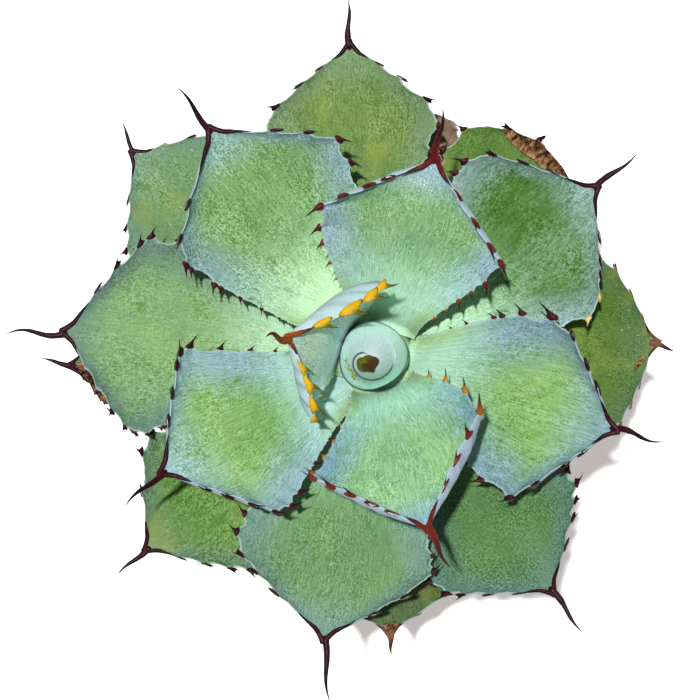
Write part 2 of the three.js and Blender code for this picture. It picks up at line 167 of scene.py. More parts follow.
class Brush:
    """The node tree of one material, which its methods add to."""

    def __init__(self, name: str) -> None:
        """Start a material with an empty tree.

        Args:
            name: The material's name.
        """
        self.material = bpy.data.materials.new(name)
        self.material.use_nodes = True
        self.tree = self.material.node_tree
        self.tree.nodes.clear()

    def add(self, kind: str, settings: dict | None = None, inputs: dict | None = None,
            output: int = 0) -> Wire:
        """Add a node of any type.

        Args:
            kind: The node's type.
            settings: Its own settings, set first. "stops" are a colour ramp's (place, colour) pairs.
            inputs: Values or wires for its sockets, by number or name.
            output: Which output to return.

        Returns:
            That output.
        """
        node = self.tree.nodes.new(kind)
        for name, value in (settings or {}).items():
            if name == "stops":
                self.set_stops(node.color_ramp, value)
            else:
                setattr(node, name, value)
        for key, value in (inputs or {}).items():
            socket = node.inputs[key]
            if isinstance(value, Wire):
                self.tree.links.new(value.socket, socket)
            else:
                socket.default_value = (*value, 1.0) if socket.type == "RGBA" else value
        return Wire(self, node.outputs[output] if node.outputs else None)

    def set_stops(self, ramp: bpy.types.ColorRamp, stops: tuple[tuple[float, Triple], ...]) -> None:
        """Give a colour ramp its stops.

        Args:
            ramp: The ramp, with its first two stops.
            stops: The place and the colour of each stop.
        """
        while len(ramp.elements) < len(stops):
            ramp.elements.new(0.5)
        for element, (place, colour) in zip(ramp.elements, stops):
            element.position, element.color = place, (*colour, 1.0)

    def ramp(self, share: Wire, *stops: tuple[float, Triple]) -> Wire:
        """Return the colour that a ramp gives at a share."""
        return self.add("ShaderNodeValToRGB", {"stops": stops}, {0: share})

    def place(self) -> Wire:
        """Return the point on the piece, in metres."""
        return self.add("ShaderNodeTexCoord", output=3)

    def carried(self, name: str) -> Wire:
        """Return a vector that the piece carries at its points."""
        return self.add("ShaderNodeAttribute", {"attribute_name": name}, output=1)

    def parts(self, vector: Wire) -> tuple[Wire, ...]:
        """Return the three numbers of a vector."""
        node = self.add("ShaderNodeSeparateXYZ", None, {0: vector}).socket.node
        return tuple(Wire(self, output) for output in node.outputs)

    def joined(self, *numbers: Wire | float) -> Wire:
        """Return a vector made of three numbers."""
        return self.add("ShaderNodeCombineXYZ", None, dict(enumerate(numbers)))

    def times(self, vector: Wire | Triple, factors: Wire | Triple) -> Wire:
        """Return a vector or a colour with each of its three numbers multiplied."""
        return self.add("ShaderNodeVectorMath", {"operation": "MULTIPLY"}, {0: vector, 1: factors})

    def shaded(self, colour: Wire, value: Wire) -> Wire:
        """Return a colour made darker or lighter by a value near 1."""
        return self.times(colour, self.joined(value, value, value))

    def noise(self, vector: Wire, scale: float | Triple, detail: float = 2.0, rough: float = 0.5) -> Wire:
        """Add a Noise node.

        Args:
            vector: Where it is read.
            scale: Waves in each unit of the vector, or in each unit along its three directions.
            detail: Finer layers.
            rough: How strong those are.

        Returns:
            Its value, about 0 to 1.
        """
        if isinstance(scale, tuple):
            vector, scale = self.times(vector, scale), 1.0
        inputs = {"Vector": vector, "Scale": scale, "Detail": detail, "Roughness": rough}
        return self.add("ShaderNodeTexNoise", None, inputs)

    def cells(self, vector: Wire, scale: float) -> Wire:
        """Return the distance from the nearest of many scattered points."""
        return self.add("ShaderNodeTexVoronoi", None, {"Vector": vector, "Scale": scale})

    def blend(self, low: Wire | Triple, high: Wire | Triple, share: Wire | float) -> Wire:
        """Return a mix of two colours, with a share of the second."""
        return self.add("ShaderNodeMix", {"data_type": "RGBA"}, {0: share, 6: low, 7: high}, output=2)

    def finish(self, colour: Wire, rough: Wire, height: Wire, depth: float,
               **fixed: float) -> bpy.types.Material:
        """Close the tree with its shader.

        Args:
            colour: The base colour.
            rough: The roughness.
            height: The relief, 0 to 1.
            depth: How deep that relief is, in millimetres.
            fixed: Values of the shader's other sockets, with _ for a space in their names.

        Returns:
            The material.
        """
        relief = self.add("ShaderNodeBump", None, {"Height": height, "Distance": depth * MM, "Strength": 1.0})
        inputs = {"Base Color": colour, "Roughness": rough, "Normal": relief}
        inputs.update({name.replace("_", " "): value for name, value in fixed.items()})
        shader = self.add("ShaderNodeBsdfPrincipled", None, inputs)
        self.add("ShaderNodeOutputMaterial", None, {"Surface": shader})
        return self.material


class Skin:
    """A finish, which a piece wears as a material of its own."""

    def material(self, name: str) -> bpy.types.Material:
        """Return a new material with this finish."""
        return self.paint(Brush(name))

    def paint(self, brush: Brush) -> bpy.types.Material:
        """Paint the finish on an empty tree and return its material; each finish has its own way."""
        raise NotImplementedError


@dataclass(frozen=True)
class Withering:
    """The colours of leaf tissue that has dried out."""

    pale: Triple = (0.27, 0.12, 0.045)
    dark: Triple = (0.022, 0.010, 0.006)
    crust: Triple = (0.50, 0.35, 0.21)
    border: Triple = (0.11, 0.07, 0.02)

    def over(self, brush: Brush, colour: Wire, lie: Wire, amount: Wire) -> tuple[Wire, Wire]:
        """Lay the dried colours over a leaf's own.

        Args:
            brush: The material's tree.
            colour: The leaf's colour.
            lie: The place on the blade, in millimetres.
            amount: How withered each place is, 0 to 1.

        Returns:
            The colour, and the mask of what is dry.
        """
        ragged = brush.noise(lie, (0.22, 0.12, 1.0), 5.0, 0.65)
        mask = (amount * 1.6 + ragged * 0.9 - 0.95).between(0.0, 0.22)
        fibre = brush.noise(lie, (0.60, 0.30, 1.0), 5.0, 0.75)
        stops = ((0.37, self.dark), (0.48, self.pale), (0.63, self.crust))
        dry = brush.ramp(fibre + (0.5 - amount) * 0.16, *stops)
        near = (amount * 1.6 + ragged * 0.9 - 0.80).between(0.0, 0.25) * 0.8
        return brush.blend(brush.blend(colour, self.border, near), dry, mask), mask


@dataclass(frozen=True)
class LeafSkin(Skin):
    """A living leaf's skin: green in the middle, paler at the foot and under a waxy bloom at the margins."""

    heart: Triple
    foot: Triple
    margin: Triple
    back: Triple
    stipple: float = 1.2
    combed: float = 1.0
    wax: float = 0.16
    scars: float = 0.0
    foot_length: float = 56.0
    bloom_width: float = 21.0
    seam: Triple = (0.50, 0.76, 0.27)
    cuticle: Triple = (0.62, 0.80, 0.76)
    # Pale margin line: partly the leaf's pale edge, partly a painted rim highlight.
    brim_and_highlight: Triple = (0.66, 0.82, 0.80)
    cork: Triple = (0.30, 0.16, 0.07)
    sere: Triple = (0.34, 0.40, 0.06)
    chalk: Triple = (0.72, 0.76, 0.60)

    def paint(self, brush: Brush) -> bpy.types.Material:
        """Paint the skin, by the "lie" and the "state" that the blade carries.

        Args:
            brush: The material's tree.

        Returns:
            The material.
        """
        noise, blend, times = brush.noise, brush.blend, brush.times
        lie = brush.carried("lie")
        _, along, _ = brush.parts(lie)
        rim, under, dryness = brush.parts(brush.carried("state"))

        sway = brush.joined(noise(lie, (0.05, 0.035, 1.0)), 0.0, 0.0)
        swayed = {0: sway, 1: (3.4, 0.0, 0.0), 2: lie}
        bent = brush.add("ShaderNodeVectorMath", {"operation": "MULTIPLY_ADD"}, swayed)
        fibres = noise(bent, (2.5, 0.13, 1.0), 4.0, 0.66)
        strokes = noise(bent, (1.2, 0.36, 1.0), 4.0, 0.7)
        crackle = noise(lie, (0.84, 0.68, 1.0), 5.0, 0.8)
        grain = noise(lie, (1.35, 1.15, 1.0), 2.0, 0.6)
        worn = noise(lie, (0.075, 0.05, 1.0), 3.0, 0.6).between(0.38, 0.62)
        cloud = noise(lie, (0.05, 0.03, 1.0), 4.0, 0.55)
        rubbed = noise(bent, (0.16, 0.08, 1.0), 6.0, 0.74).between(0.56, 0.68)

        heart, margin = own(self.heart), own(self.margin)
        patchy = (cloud - 0.5) * 0.9
        mottled = (crackle - 0.5) * 0.55 + (strokes - 0.5) * 0.55
        bloom = (rim.outside(0.5, self.bloom_width) + patchy + mottled).held() * 0.94
        foot = (along.outside(6.0, self.foot_length) + patchy * 0.6 + mottled * 0.6).held()
        # Paler feet deep in the rosette: partly the thick bloom of the leaf's foot, partly painted light that
        # lifts the shade falling there.
        deep = along.outside(8.0, self.foot_length * 1.2) * 0.9
        zone = blend(heart, times(heart, (1.55, 1.32, 0.70)), (cloud - 0.42).held() * 2.6)
        zone = blend(blend(zone, own(self.foot), foot), margin, bloom)
        zone = blend(zone, times(self.foot, (1.2, 1.15, 1.25)), deep)
        zone = blend(zone, own(self.seam), rim.outside(1.0, 8.0) * along.outside(12.0, 40.0) * 0.85)

        strength = (along.between(4.0, 55.0) * 0.7 + 0.3) * (worn * 0.75 + 0.35)
        uneven = (crackle - 0.5) * (1.2 * self.stipple) + (strokes - 0.5) * 1.15
        uneven = uneven + (grain - 0.5) * (1.6 * self.stipple)
        stain = (uneven * strength + (fibres - 0.5) * (1.25 * self.combed)) * 1.3
        pale = blend(times(zone, (1.40, 1.30, 1.5)), own(self.cuticle), self.wax)
        colour = blend(times(zone, (0.40, 0.55, 0.34)), pale, (stain + 0.5).held())
        colour = blend(colour, times(heart, (0.50, 0.72, 0.38)), rubbed * strength * 0.95)
        # A thin pale line along the very margin: partly the pale edge of the leaf, partly a painted rim
        # highlight.
        colour = blend(colour, own(self.brim_and_highlight), rim.outside(0.25, 1.0) * 0.45)

        back = blend(own(self.back), times(margin, (0.9, 0.9, 0.9)), cloud * 0.5)
        dull, bright = times(back, (0.72, 0.76, 0.76)), times(back, (1.2, 1.2, 1.2))
        back = blend(dull, bright, fibres * 0.7 + grain * 0.3)
        colour = blend(colour, back, under)
        if self.scars:
            colour = self.scarred(brush, colour, lie)
        colour, dry = Withering().over(brush, colour, lie, dryness)

        rough = 0.56 + crackle * 0.16 + dry * 0.25 - rubbed * 0.10
        height = fibres * 0.5 + strokes * 0.3 + grain * 0.2 + dry * crackle * 3.0
        return brush.finish(colour, rough, height, 0.45, Specular_IOR_Level=0.12)

    def scarred(self, brush: Brush, colour: Wire, lie: Wire) -> Wire:
        """Scatter corky scars, yellowing patches and chalky scratches.

        Args:
            brush: The material's tree.
            colour: The leaf's colour.
            lie: The place on the blade, in millimetres.

        Returns:
            The colour with its scars.
        """
        noise = brush.noise
        spots = brush.cells(brush.times(lie, (0.10, 0.075, 1.0)), 1.0)
        chosen = noise(lie, (0.05, 0.04, 1.0), 1.0).between(0.60 - 0.12 * self.scars, 0.66)
        ragged = noise(lie, (0.6, 0.6, 1.0), 3.0)
        colour = brush.blend(colour, own(self.cork), (spots + ragged * 0.3).outside(0.15, 0.24) * chosen)
        fading = noise(lie, (0.045, 0.035, 1.0), 4.0, 0.6).between(0.50, 0.72)
        colour = brush.blend(colour, own(self.sere), fading * 0.45)
        scratch = noise(lie, (0.55, 0.30, 1.0), 4.0, 0.75).between(0.63, 0.69)
        curl = (noise(lie, (0.16, 0.12, 1.0), 3.0, 0.6) - 0.5).math("ABSOLUTE")
        line = curl.outside(0.010, 0.028) * ragged.between(0.50, 0.56)
        where = noise(lie, (0.04, 0.03, 1.0), 2.0).between(0.56 - 0.20 * self.scars, 0.62)
        chalky = (scratch * chosen + line * where).held() * min(1.0, 0.45 + 0.3 * self.scars)
        return brush.blend(colour, own(self.chalk), chalky)


@dataclass(frozen=True)
class HornSkin(Skin):
    """Horn: its colour at the root and at the tip, near the leaf's end and near its foot."""

    root: Triple = (0.036, 0.005, 0.010)
    tip: Triple = (0.008, 0.002, 0.003)
    low_root: Triple = (0.10, 0.012, 0.007)
    low_tip: Triple = (0.016, 0.007, 0.004)
    gloss: float = 0.36
    turn: tuple[float, float] = (0.26, 0.78)
    bleached: Triple = (0.85, 0.66, 0.24)

    def paint(self, brush: Brush) -> bpy.types.Material:
        """Paint the horn, by the "grow" that it carries.

        Args:
            brush: The material's tree.

        Returns:
            The material.
        """
        far, low, pick = brush.parts(brush.carried("grow"))
        point = brush.place()
        clouds = brush.noise(point, 320.0, 3.0, 0.6)
        grain = brush.noise(point, 1500.0, 2.0, 0.6)
        reach = (far + (clouds - 0.5) * 0.5).between(0.2, 0.7)
        high = brush.blend(own(self.root), own(self.tip), reach)
        lower = brush.blend(own(self.low_root), own(self.low_tip), reach)
        colour = brush.blend(high, lower, (low + (pick - 0.5) * 0.12).between(*self.turn))
        colour = brush.blend(colour, own(self.bleached), low.between(1.4, 1.6) * far.outside(0.5, 1.2))
        colour = brush.shaded(colour, 0.55 + clouds * 0.6 + grain * 0.35)
        rough = self.gloss - 0.08 + clouds * 0.2
        return brush.finish(colour, rough, clouds * 0.6 + grain * 0.4, 0.18, Specular_IOR_Level=0.09)


@dataclass(frozen=True)
class BudSkin(Skin):
    """The bud's skin: a thick pale bloom over rolled young leaves, lightened with painted light on its steep
    flanks and darkened with painted shade in its creases and at its foot.
    """

    # The pale and green tones are set above one: painted light that lifts the shade on the bud's steep sides.
    pale: Triple = (1.18, 1.44, 1.52)
    green: Triple = (1.04, 1.38, 1.26)
    # Dark green of the painted shade in the creases of the lapping edges.
    crease_shade: Triple = (0.04, 0.09, 0.045)
    # Dark green of the painted shade at the bud's foot.
    foot: Triple = (0.06, 0.13, 0.04)

    def paint(self, brush: Brush) -> bpy.types.Material:
        """Paint the bud, by the "lie" that it carries.

        Args:
            brush: The material's tree.

        Returns:
            The material.
        """
        lie, point = brush.carried("lie"), brush.place()
        _, level, crease_shade = brush.parts(lie)
        fibres = brush.noise(lie, (0.9, 0.05, 0.0), 3.0, 0.6)
        crackle = brush.noise(point, 900.0, 3.0, 0.65)
        cloud = brush.noise(point, 90.0, 4.0, 0.55)
        zone = brush.blend(own(self.pale), own(self.green), (cloud - 0.35).held() * 1.5)
        stain = ((fibres - 0.5) * 1.2 + (crackle - 0.5) * 1.0 + 0.55).held()
        dull, bright = brush.times(zone, (0.72, 0.80, 0.76)), brush.times(zone, (1.08, 1.06, 1.06))
        colour = brush.blend(dull, bright, stain)
        # Painted light: the lower, steeper flanks are made lighter than the top, to lift the shade that falls
        # on them.
        colour = brush.shaded(colour, 1.30 - level.between(40.0, 78.0) * 0.34)
        # Painted shade: dark thin arcs along the lapping edges of the rolled leaves, where shade falls in the
        # crease.
        colour = brush.blend(colour, own(self.crease_shade), crease_shade)
        # Painted shade: a dark band at the bud's foot, in the crevice between the bud and the leaves round
        # it.
        colour = brush.blend(colour, own(self.foot), level.outside(9.0, 23.0) * 0.85)
        height = fibres * 0.6 + crackle * 0.4
        return brush.finish(colour, 0.6 + cloud * 0.15, height, 0.3, Specular_IOR_Level=0.12)


@dataclass(frozen=True)
class FibreSkin(Skin):
    """Dead, fibrous tissue of the stem and of the leaf bases left on it."""

    pale: Triple = (0.42, 0.40, 0.24)
    dark: Triple = (0.13, 0.09, 0.045)
    bleached: Triple = (0.58, 0.55, 0.36)
    fresh: Triple = (0.50, 0.72, 0.46)
    fresh_levels: tuple[float, float] = (0.150, 0.168)

    def paint(self, brush: Brush) -> bpy.types.Material:
        """Paint the fibres, which run up the stem.

        Args:
            brush: The material's tree.

        Returns:
            The material.
        """
        point = brush.place()
        _, _, level = brush.parts(point)
        fibre = brush.noise(point, (900.0, 900.0, 90.0), 4.0, 0.65)
        blotch = brush.noise(point, 130.0, 4.0, 0.6)
        share = (fibre * 0.7 + blotch * 0.6 - 0.15).held()
        colour = brush.ramp(share, (0.25, self.dark), (0.55, self.pale), (0.85, self.bleached))
        colour = brush.blend(colour, self.fresh, (level + (blotch - 0.5) * 0.02).between(*self.fresh_levels))
        return brush.finish(colour, 0.7 + blotch * 0.2, fibre, 0.5)


@dataclass(frozen=True)
class SoilSkin(Skin):
    """Potting mix: dark crumbs, with paler grit among them."""

    dark: Triple = (0.035, 0.022, 0.014)
    brown: Triple = (0.105, 0.064, 0.036)
    pale: Triple = (0.21, 0.15, 0.10)

    def paint(self, brush: Brush) -> bpy.types.Material:
        """Paint the mix.

        Args:
            brush: The material's tree.

        Returns:
            The material.
        """
        point = brush.place()
        crumbs = brush.noise(point, 330.0, 5.0, 0.7)
        cells = brush.cells(point, 420.0)
        colour = brush.ramp(crumbs, (0.3, self.dark), (0.6, self.brown), (0.82, self.pale))
        colour = brush.shaded(colour, 1.15 - cells * 0.5)
        return brush.finish(colour, 0.85 + crumbs * 0.12, crumbs * 0.6 + (1.0 - cells) * 0.4, 1.4)


@dataclass(frozen=True)
class GritSkin(Skin):
    """Pumice and lava grit, each stone in its own shade."""

    lava: Triple = (0.16, 0.10, 0.075)
    brown: Triple = (0.30, 0.22, 0.16)
    buff: Triple = (0.52, 0.47, 0.39)
    pumice: Triple = (0.62, 0.60, 0.54)

    def paint(self, brush: Brush) -> bpy.types.Material:
        """Paint the stones, by the "grow" that each carries.

        Args:
            brush: The material's tree.

        Returns:
            The material.
        """
        _, _, pick = brush.parts(brush.carried("grow"))
        pores = brush.noise(brush.place(), 1400.0, 4.0, 0.7)
        colour = brush.ramp(pick, (0.1, self.lava), (0.45, self.brown), (0.7, self.buff), (0.95, self.pumice))
        return brush.finish(brush.shaded(colour, 0.65 + pores * 0.7), 0.85 + pores * 0.1, pores, 0.5)


@dataclass(frozen=True)
class ClaySkin(Skin):
    """Unglazed terracotta with mineral bloom low on its wall and on its rim."""

    clay: Triple = (0.46, 0.175, 0.085)
    dark: Triple = (0.33, 0.115, 0.055)
    salt: Triple = (0.66, 0.56, 0.48)
    foot_levels: tuple[float, float] = (0.004, 0.055)
    lip_levels: tuple[float, float] = (0.118, 0.139)

    def paint(self, brush: Brush) -> bpy.types.Material:
        """Paint the clay.

        Args:
            brush: The material's tree.

        Returns:
            The material.
        """
        point = brush.place()
        _, _, level = brush.parts(point)
        rings = brush.noise(point, (6.0, 6.0, 420.0), 3.0, 0.6)
        cloud = brush.noise(point, 26.0, 5.0, 0.6)
        sand = brush.noise(point, 1700.0, 3.0, 0.7)
        colour = brush.blend(self.clay, self.dark, (cloud * 1.2 - 0.2).held())
        colour = brush.shaded(colour, 0.72 + rings * 0.3 + sand * 0.26)
        low, lip = level.outside(*self.foot_levels), level.between(*self.lip_levels)
        bloom = (low * 0.55 + lip * 0.4 + (cloud - 0.5) * 1.5 + (sand - 0.5) * 0.4).between(0.15, 0.75)
        colour = brush.blend(colour, self.salt, bloom * 0.55)
        return brush.finish(colour, 0.78 + sand * 0.16, sand * 0.45 + rings * 0.55, 0.45)


@dataclass(frozen=True)
class PaperSkin(Skin):
    """The studio's pale paper floor, which glows a little so that its shadows stay soft."""

    dull: Triple = (0.93, 0.93, 0.93)
    bright: Triple = (0.95, 0.95, 0.95)
    glow: float = 0.30

    def paint(self, brush: Brush) -> bpy.types.Material:
        """Paint the paper.

        Args:
            brush: The material's tree.

        Returns:
            The material.
        """
        tooth = brush.noise(brush.place(), 300.0)
        colour = brush.blend(self.dull, self.bright, tooth)
        return brush.finish(colour, 0.8 + tooth * 0.1, tooth, 0.05, Emission_Strength=self.glow)


class Bench:
    """Blender's own mesh tools, used on one piece at a time. The widths of seams are in metres."""

    SEAM = 5e-6
    SPIN_SEAM = 2e-5

    @staticmethod
    def clear() -> None:
        """Leave nothing selected."""
        if bpy.context.object and bpy.context.object.mode != "OBJECT":
            bpy.ops.object.mode_set(mode="OBJECT")
        bpy.ops.object.select_all(action="DESELECT")

    @staticmethod
    def named(name: str) -> bpy.types.Object:
        """Name the piece that was just added.

        Args:
            name: Its name.

        Returns:
            The piece.
        """
        piece = bpy.context.object
        piece.name = piece.data.name = name
        return piece

    @staticmethod
    def edit() -> None:
        """Go into edit mode with the whole piece selected."""
        bpy.ops.object.mode_set(mode="EDIT")
        bpy.ops.mesh.select_all(action="SELECT")

    @staticmethod
    def done() -> None:
        """Turn all the faces outwards and go back to object mode."""
        bpy.ops.mesh.select_all(action="SELECT")
        bpy.ops.mesh.normals_make_consistent(inside=False)
        bpy.ops.object.mode_set(mode="OBJECT")

    @staticmethod
    def points(piece: bpy.types.Object) -> np.ndarray:
        """Read a piece's points.

        Args:
            piece: The piece.

        Returns:
            The points as rows of three numbers.
        """
        flat = np.empty(len(piece.data.vertices) * 3)
        piece.data.vertices.foreach_get("co", flat)
        return flat.reshape(-1, 3)

    @staticmethod
    def move(piece: bpy.types.Object, points: np.ndarray) -> None:
        """Put a piece's points somewhere else."""
        piece.data.vertices.foreach_set("co", points.astype(float).ravel())
        piece.data.update()

    @staticmethod
    def mark(piece: bpy.types.Object, name: str, *numbers: np.ndarray | float) -> None:
        """Let a piece carry three numbers at each of its points, for its finish to read.

        Args:
            piece: The piece.
            name: What the three are called together.
            numbers: The three, each one value for all points or a value for each.
        """
        layer = piece.data.attributes.new(name, "FLOAT_VECTOR", "POINT")
        columns = [np.broadcast_to(number, len(piece.data.vertices)) for number in numbers]
        layer.data.foreach_set("vector", np.stack(columns, axis=1).astype(np.float32).ravel())

    @classmethod
    def sheet(cls, name: str, columns: int, rows: int) -> tuple[bpy.types.Object, np.ndarray, np.ndarray]:
        """Add a grid that is to be draped over a form.

        Args:
            name: The piece's name.
            columns: Faces across it.
            rows: Faces along it.

        Returns:
            The piece, and the column and the row of each of its points.
        """
        cls.clear()
        bpy.ops.mesh.primitive_grid_add(x_subdivisions=columns, y_subdivisions=rows, size=1.0)
        piece = cls.named(name)
        flat = cls.points(piece) + 0.5
        return piece, np.rint(flat[:, 0] * columns).astype(int), np.rint(flat[:, 1] * rows).astype(int)

    @classmethod
    def seal(cls) -> None:
        """Join the seams of the piece at hand, close its ends and turn its faces outwards."""
        cls.edit()
        bpy.ops.mesh.remove_doubles(threshold=cls.SEAM)
        bpy.ops.mesh.fill_holes(sides=0)
        cls.done()
        bpy.ops.object.shade_smooth()

    @classmethod
    def horn(cls, name: str, rings: tuple[tuple[float, ...], ...], sides: int) -> bpy.types.Object:
        """Model a horn by pushing an oval out ring by ring, and close it at its last ring.

        Args:
            name: The piece's name.
            rings: For each ring its level, its shift along X, and its half widths along X and Y.
            sides: Points round it.

        Returns:
            The horn, which stands on the XY plane.
        """
        cls.clear()
        level, shift, wide, deep = rings[0]
        foot = {"location": (shift, 0, level)}
        bpy.ops.mesh.primitive_circle_add(vertices=sides, radius=1.0, fill_type="NGON", **foot)
        piece = cls.named(name)
        bpy.ops.object.transform_apply(location=True)
        cls.edit()
        bpy.ops.transform.resize(value=(wide, deep, 1.0), center_override=(shift, 0, level))
        for here, now in zip(rings, rings[1:]):
            push = {"value": (now[1] - here[1], 0, now[0] - here[0])}
            bpy.ops.mesh.extrude_region_move(TRANSFORM_OT_translate=push)
            grow = (now[2] / here[2], now[3] / here[3], 1.0)
            bpy.ops.transform.resize(value=grow, center_override=(now[1], 0, now[0]))
        bpy.ops.mesh.merge(type="CENTER")
        cls.done()
        return piece

    @classmethod
    def turned(cls, name: str, profile: list[tuple[float, float]], steps: int) -> bpy.types.Object:
        """Turn a profile round the Z axis.

        Args:
            name: The piece's name.
            profile: Radius and level of each point, in millimetres, from the axis back to the axis.
            steps: Steps in a whole turn.

        Returns:
            The closed piece.
        """
        cls.clear()
        bpy.ops.mesh.primitive_plane_add(size=1.0)
        piece = cls.named(name)
        cls.edit()
        bpy.ops.mesh.merge(type="CENTER")
        bpy.ops.mesh.select_all(action="SELECT")
        bpy.ops.transform.translate(value=(profile[0][0] * MM, 0.0, profile[0][1] * MM))
        for (radius, level), (last_radius, last_level) in zip(profile[1:], profile):
            push = {"value": ((radius - last_radius) * MM, 0.0, (level - last_level) * MM)}
            bpy.ops.mesh.extrude_region_move(TRANSFORM_OT_translate=push)
        bpy.ops.mesh.select_all(action="SELECT")
        bpy.ops.mesh.spin(steps=steps, angle=WHOLE_TURN, center=(0, 0, 0), axis=(0, 0, 1))
        bpy.ops.mesh.select_all(action="SELECT")
        bpy.ops.mesh.remove_doubles(threshold=cls.SPIN_SEAM)
        cls.done()
        return piece

    @classmethod
    def copy(cls, stock: bpy.types.Object, points: np.ndarray, *grow: np.ndarray | float) -> bpy.types.Object:
        """Take a copy of a modelled piece, with its own mesh.

        Args:
            stock: The piece to copy.
            points: Where the copy's points go, in millimetres.
            grow: The three numbers that the copy carries, for its finish.

        Returns:
            The copy.
        """
        piece = stock.copy()
        piece.data = stock.data.copy()
        bpy.context.collection.objects.link(piece)
        cls.move(piece, points * MM)
        cls.mark(piece, "grow", *grow)
        return piece

    @classmethod
    def join(cls, pieces: list[bpy.types.Object], name: str) -> bpy.types.Object:
        """Join several pieces into one.

        Args:
            pieces: The pieces.
            name: The name of the whole.

        Returns:
            The whole, shaded smooth.
        """
        cls.clear()
        for piece in pieces:
            piece.select_set(True)
        bpy.context.view_layer.objects.active = pieces[0]
        if len(pieces) > 1:
            bpy.ops.object.join()
        bpy.ops.object.shade_smooth()
        return cls.named(name)

    @classmethod
    def apply(cls, piece: bpy.types.Object, kind: str, **settings: object) -> None:
        """Finish a piece with a modifier, and apply it.

        Args:
            piece: The piece.
            kind: The modifier's type.
            settings: Its settings.
        """
        cls.clear()
        piece.select_set(True)
        bpy.context.view_layer.objects.active = piece
        modifier = piece.modifiers.new(kind.lower(), kind)
        for name, value in settings.items():
            setattr(modifier, name, value)
        bpy.ops.object.modifier_apply(modifier=modifier.name)


def fit(piece: bpy.types.Object, material: bpy.types.Material, slot: str, *nodes: str) -> None:
    """Put a finished piece on the plant.

    Args:
        piece: The piece.
        material: Its finish.
        slot: The record's material slot.
        nodes: The CAD nodes that it stands for.
    """
    piece.data.materials.clear()
    piece.data.materials.append(material)
    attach(piece, "root")
    if nodes:
        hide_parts(*nodes)
    faces, node = len(piece.data.polygons), ", ".join(nodes) or "no node"
    log.info("%s: %d faces, %s, stands for %s", piece.name, faces, slot, node)


class Side(Enum):
    """The two margins of a leaf, seen from above and looking out to its tip."""

    LEFT = 1
    RIGHT = -1


class Age(Enum):
    """A leaf's age, with the material slots of its blade and of its horn."""

    YOUNGEST = ("leaf_young", "spine_young")
    RED = ("leaf_young", "spine_red")
    YOUNG = ("leaf_young", "spine_dark")
    MATURE = ("leaf_mature", "spine_dark")
    OLD = ("leaf_old", "spine_dark")
    WORN = ("leaf_old", "spine_dry")
    WITHERED = ("leaf_dry", "spine_dry")


@dataclass(frozen=True)
class Habit:
    """How every leaf of this rosette grows. Each pair is an old leaf's cup, and what youth adds to it."""

    crown_level: float = 197.0
    leaf_pitch: float = 3.6
    seat_radius: float = 16.6
    seat_spread: float = 9.0
    spread_leaves: float = 6.5
    oldest_rise: float = 14.0
    young_rise: float = 63.0
    rise_fade: float = 3.7
    arch: float = 13.0
    steepest: float = 88.0
    youth_fade: float = 4.0
    foot_cup: float = 52.0
    blade_cup: tuple[float, float] = (22.0, 36.0)
    added_cup: tuple[float, float] = (26.0, 30.0)
    base_width: float = 0.375
    shoulder: float = 0.72
    rounding: float = 0.1
    tip_half_width: float = 2.2
    heel_length: float = 9.0
    heel_turn: float = 62.0
    bud_radius: float = 15.8
    foot_flesh: float = 6.5
    middle_flesh: float = 5.0
    tip_flesh: float = 2.8
    edge_flesh: float = 1.0

    def seat(self, index: int) -> tuple[float, float]:
        """Return the radius and the level of a leaf's foot on the crown."""
        radius = self.seat_radius + self.seat_spread * (1 - math.exp(-index / self.spread_leaves))
        return radius, self.crown_level - self.leaf_pitch * index


@dataclass(frozen=True)
class Patch:
    """A withered place on a leaf, by its middle and its reach along and across the blade."""

    along: float
    across: float
    long: float
    wide: float
    amount: float = 1.0


@dataclass(frozen=True)
class Margin:
    """One margin of a leaf: how wide the blade is there, how it folds, its horn arm and its teeth.

    The folds are shares of the leaf's own. A tooth is its distance down from the tip and its size.
    """

    wide: float = 1.0
    full: float = 1.5
    fold: float = 1.0
    curl: float = 1.0
    arm: float = 17.0
    teeth: Marks = ()
    full_to: float = 0.80
    sharp: tuple[float, float] = (1.35, 2.0)


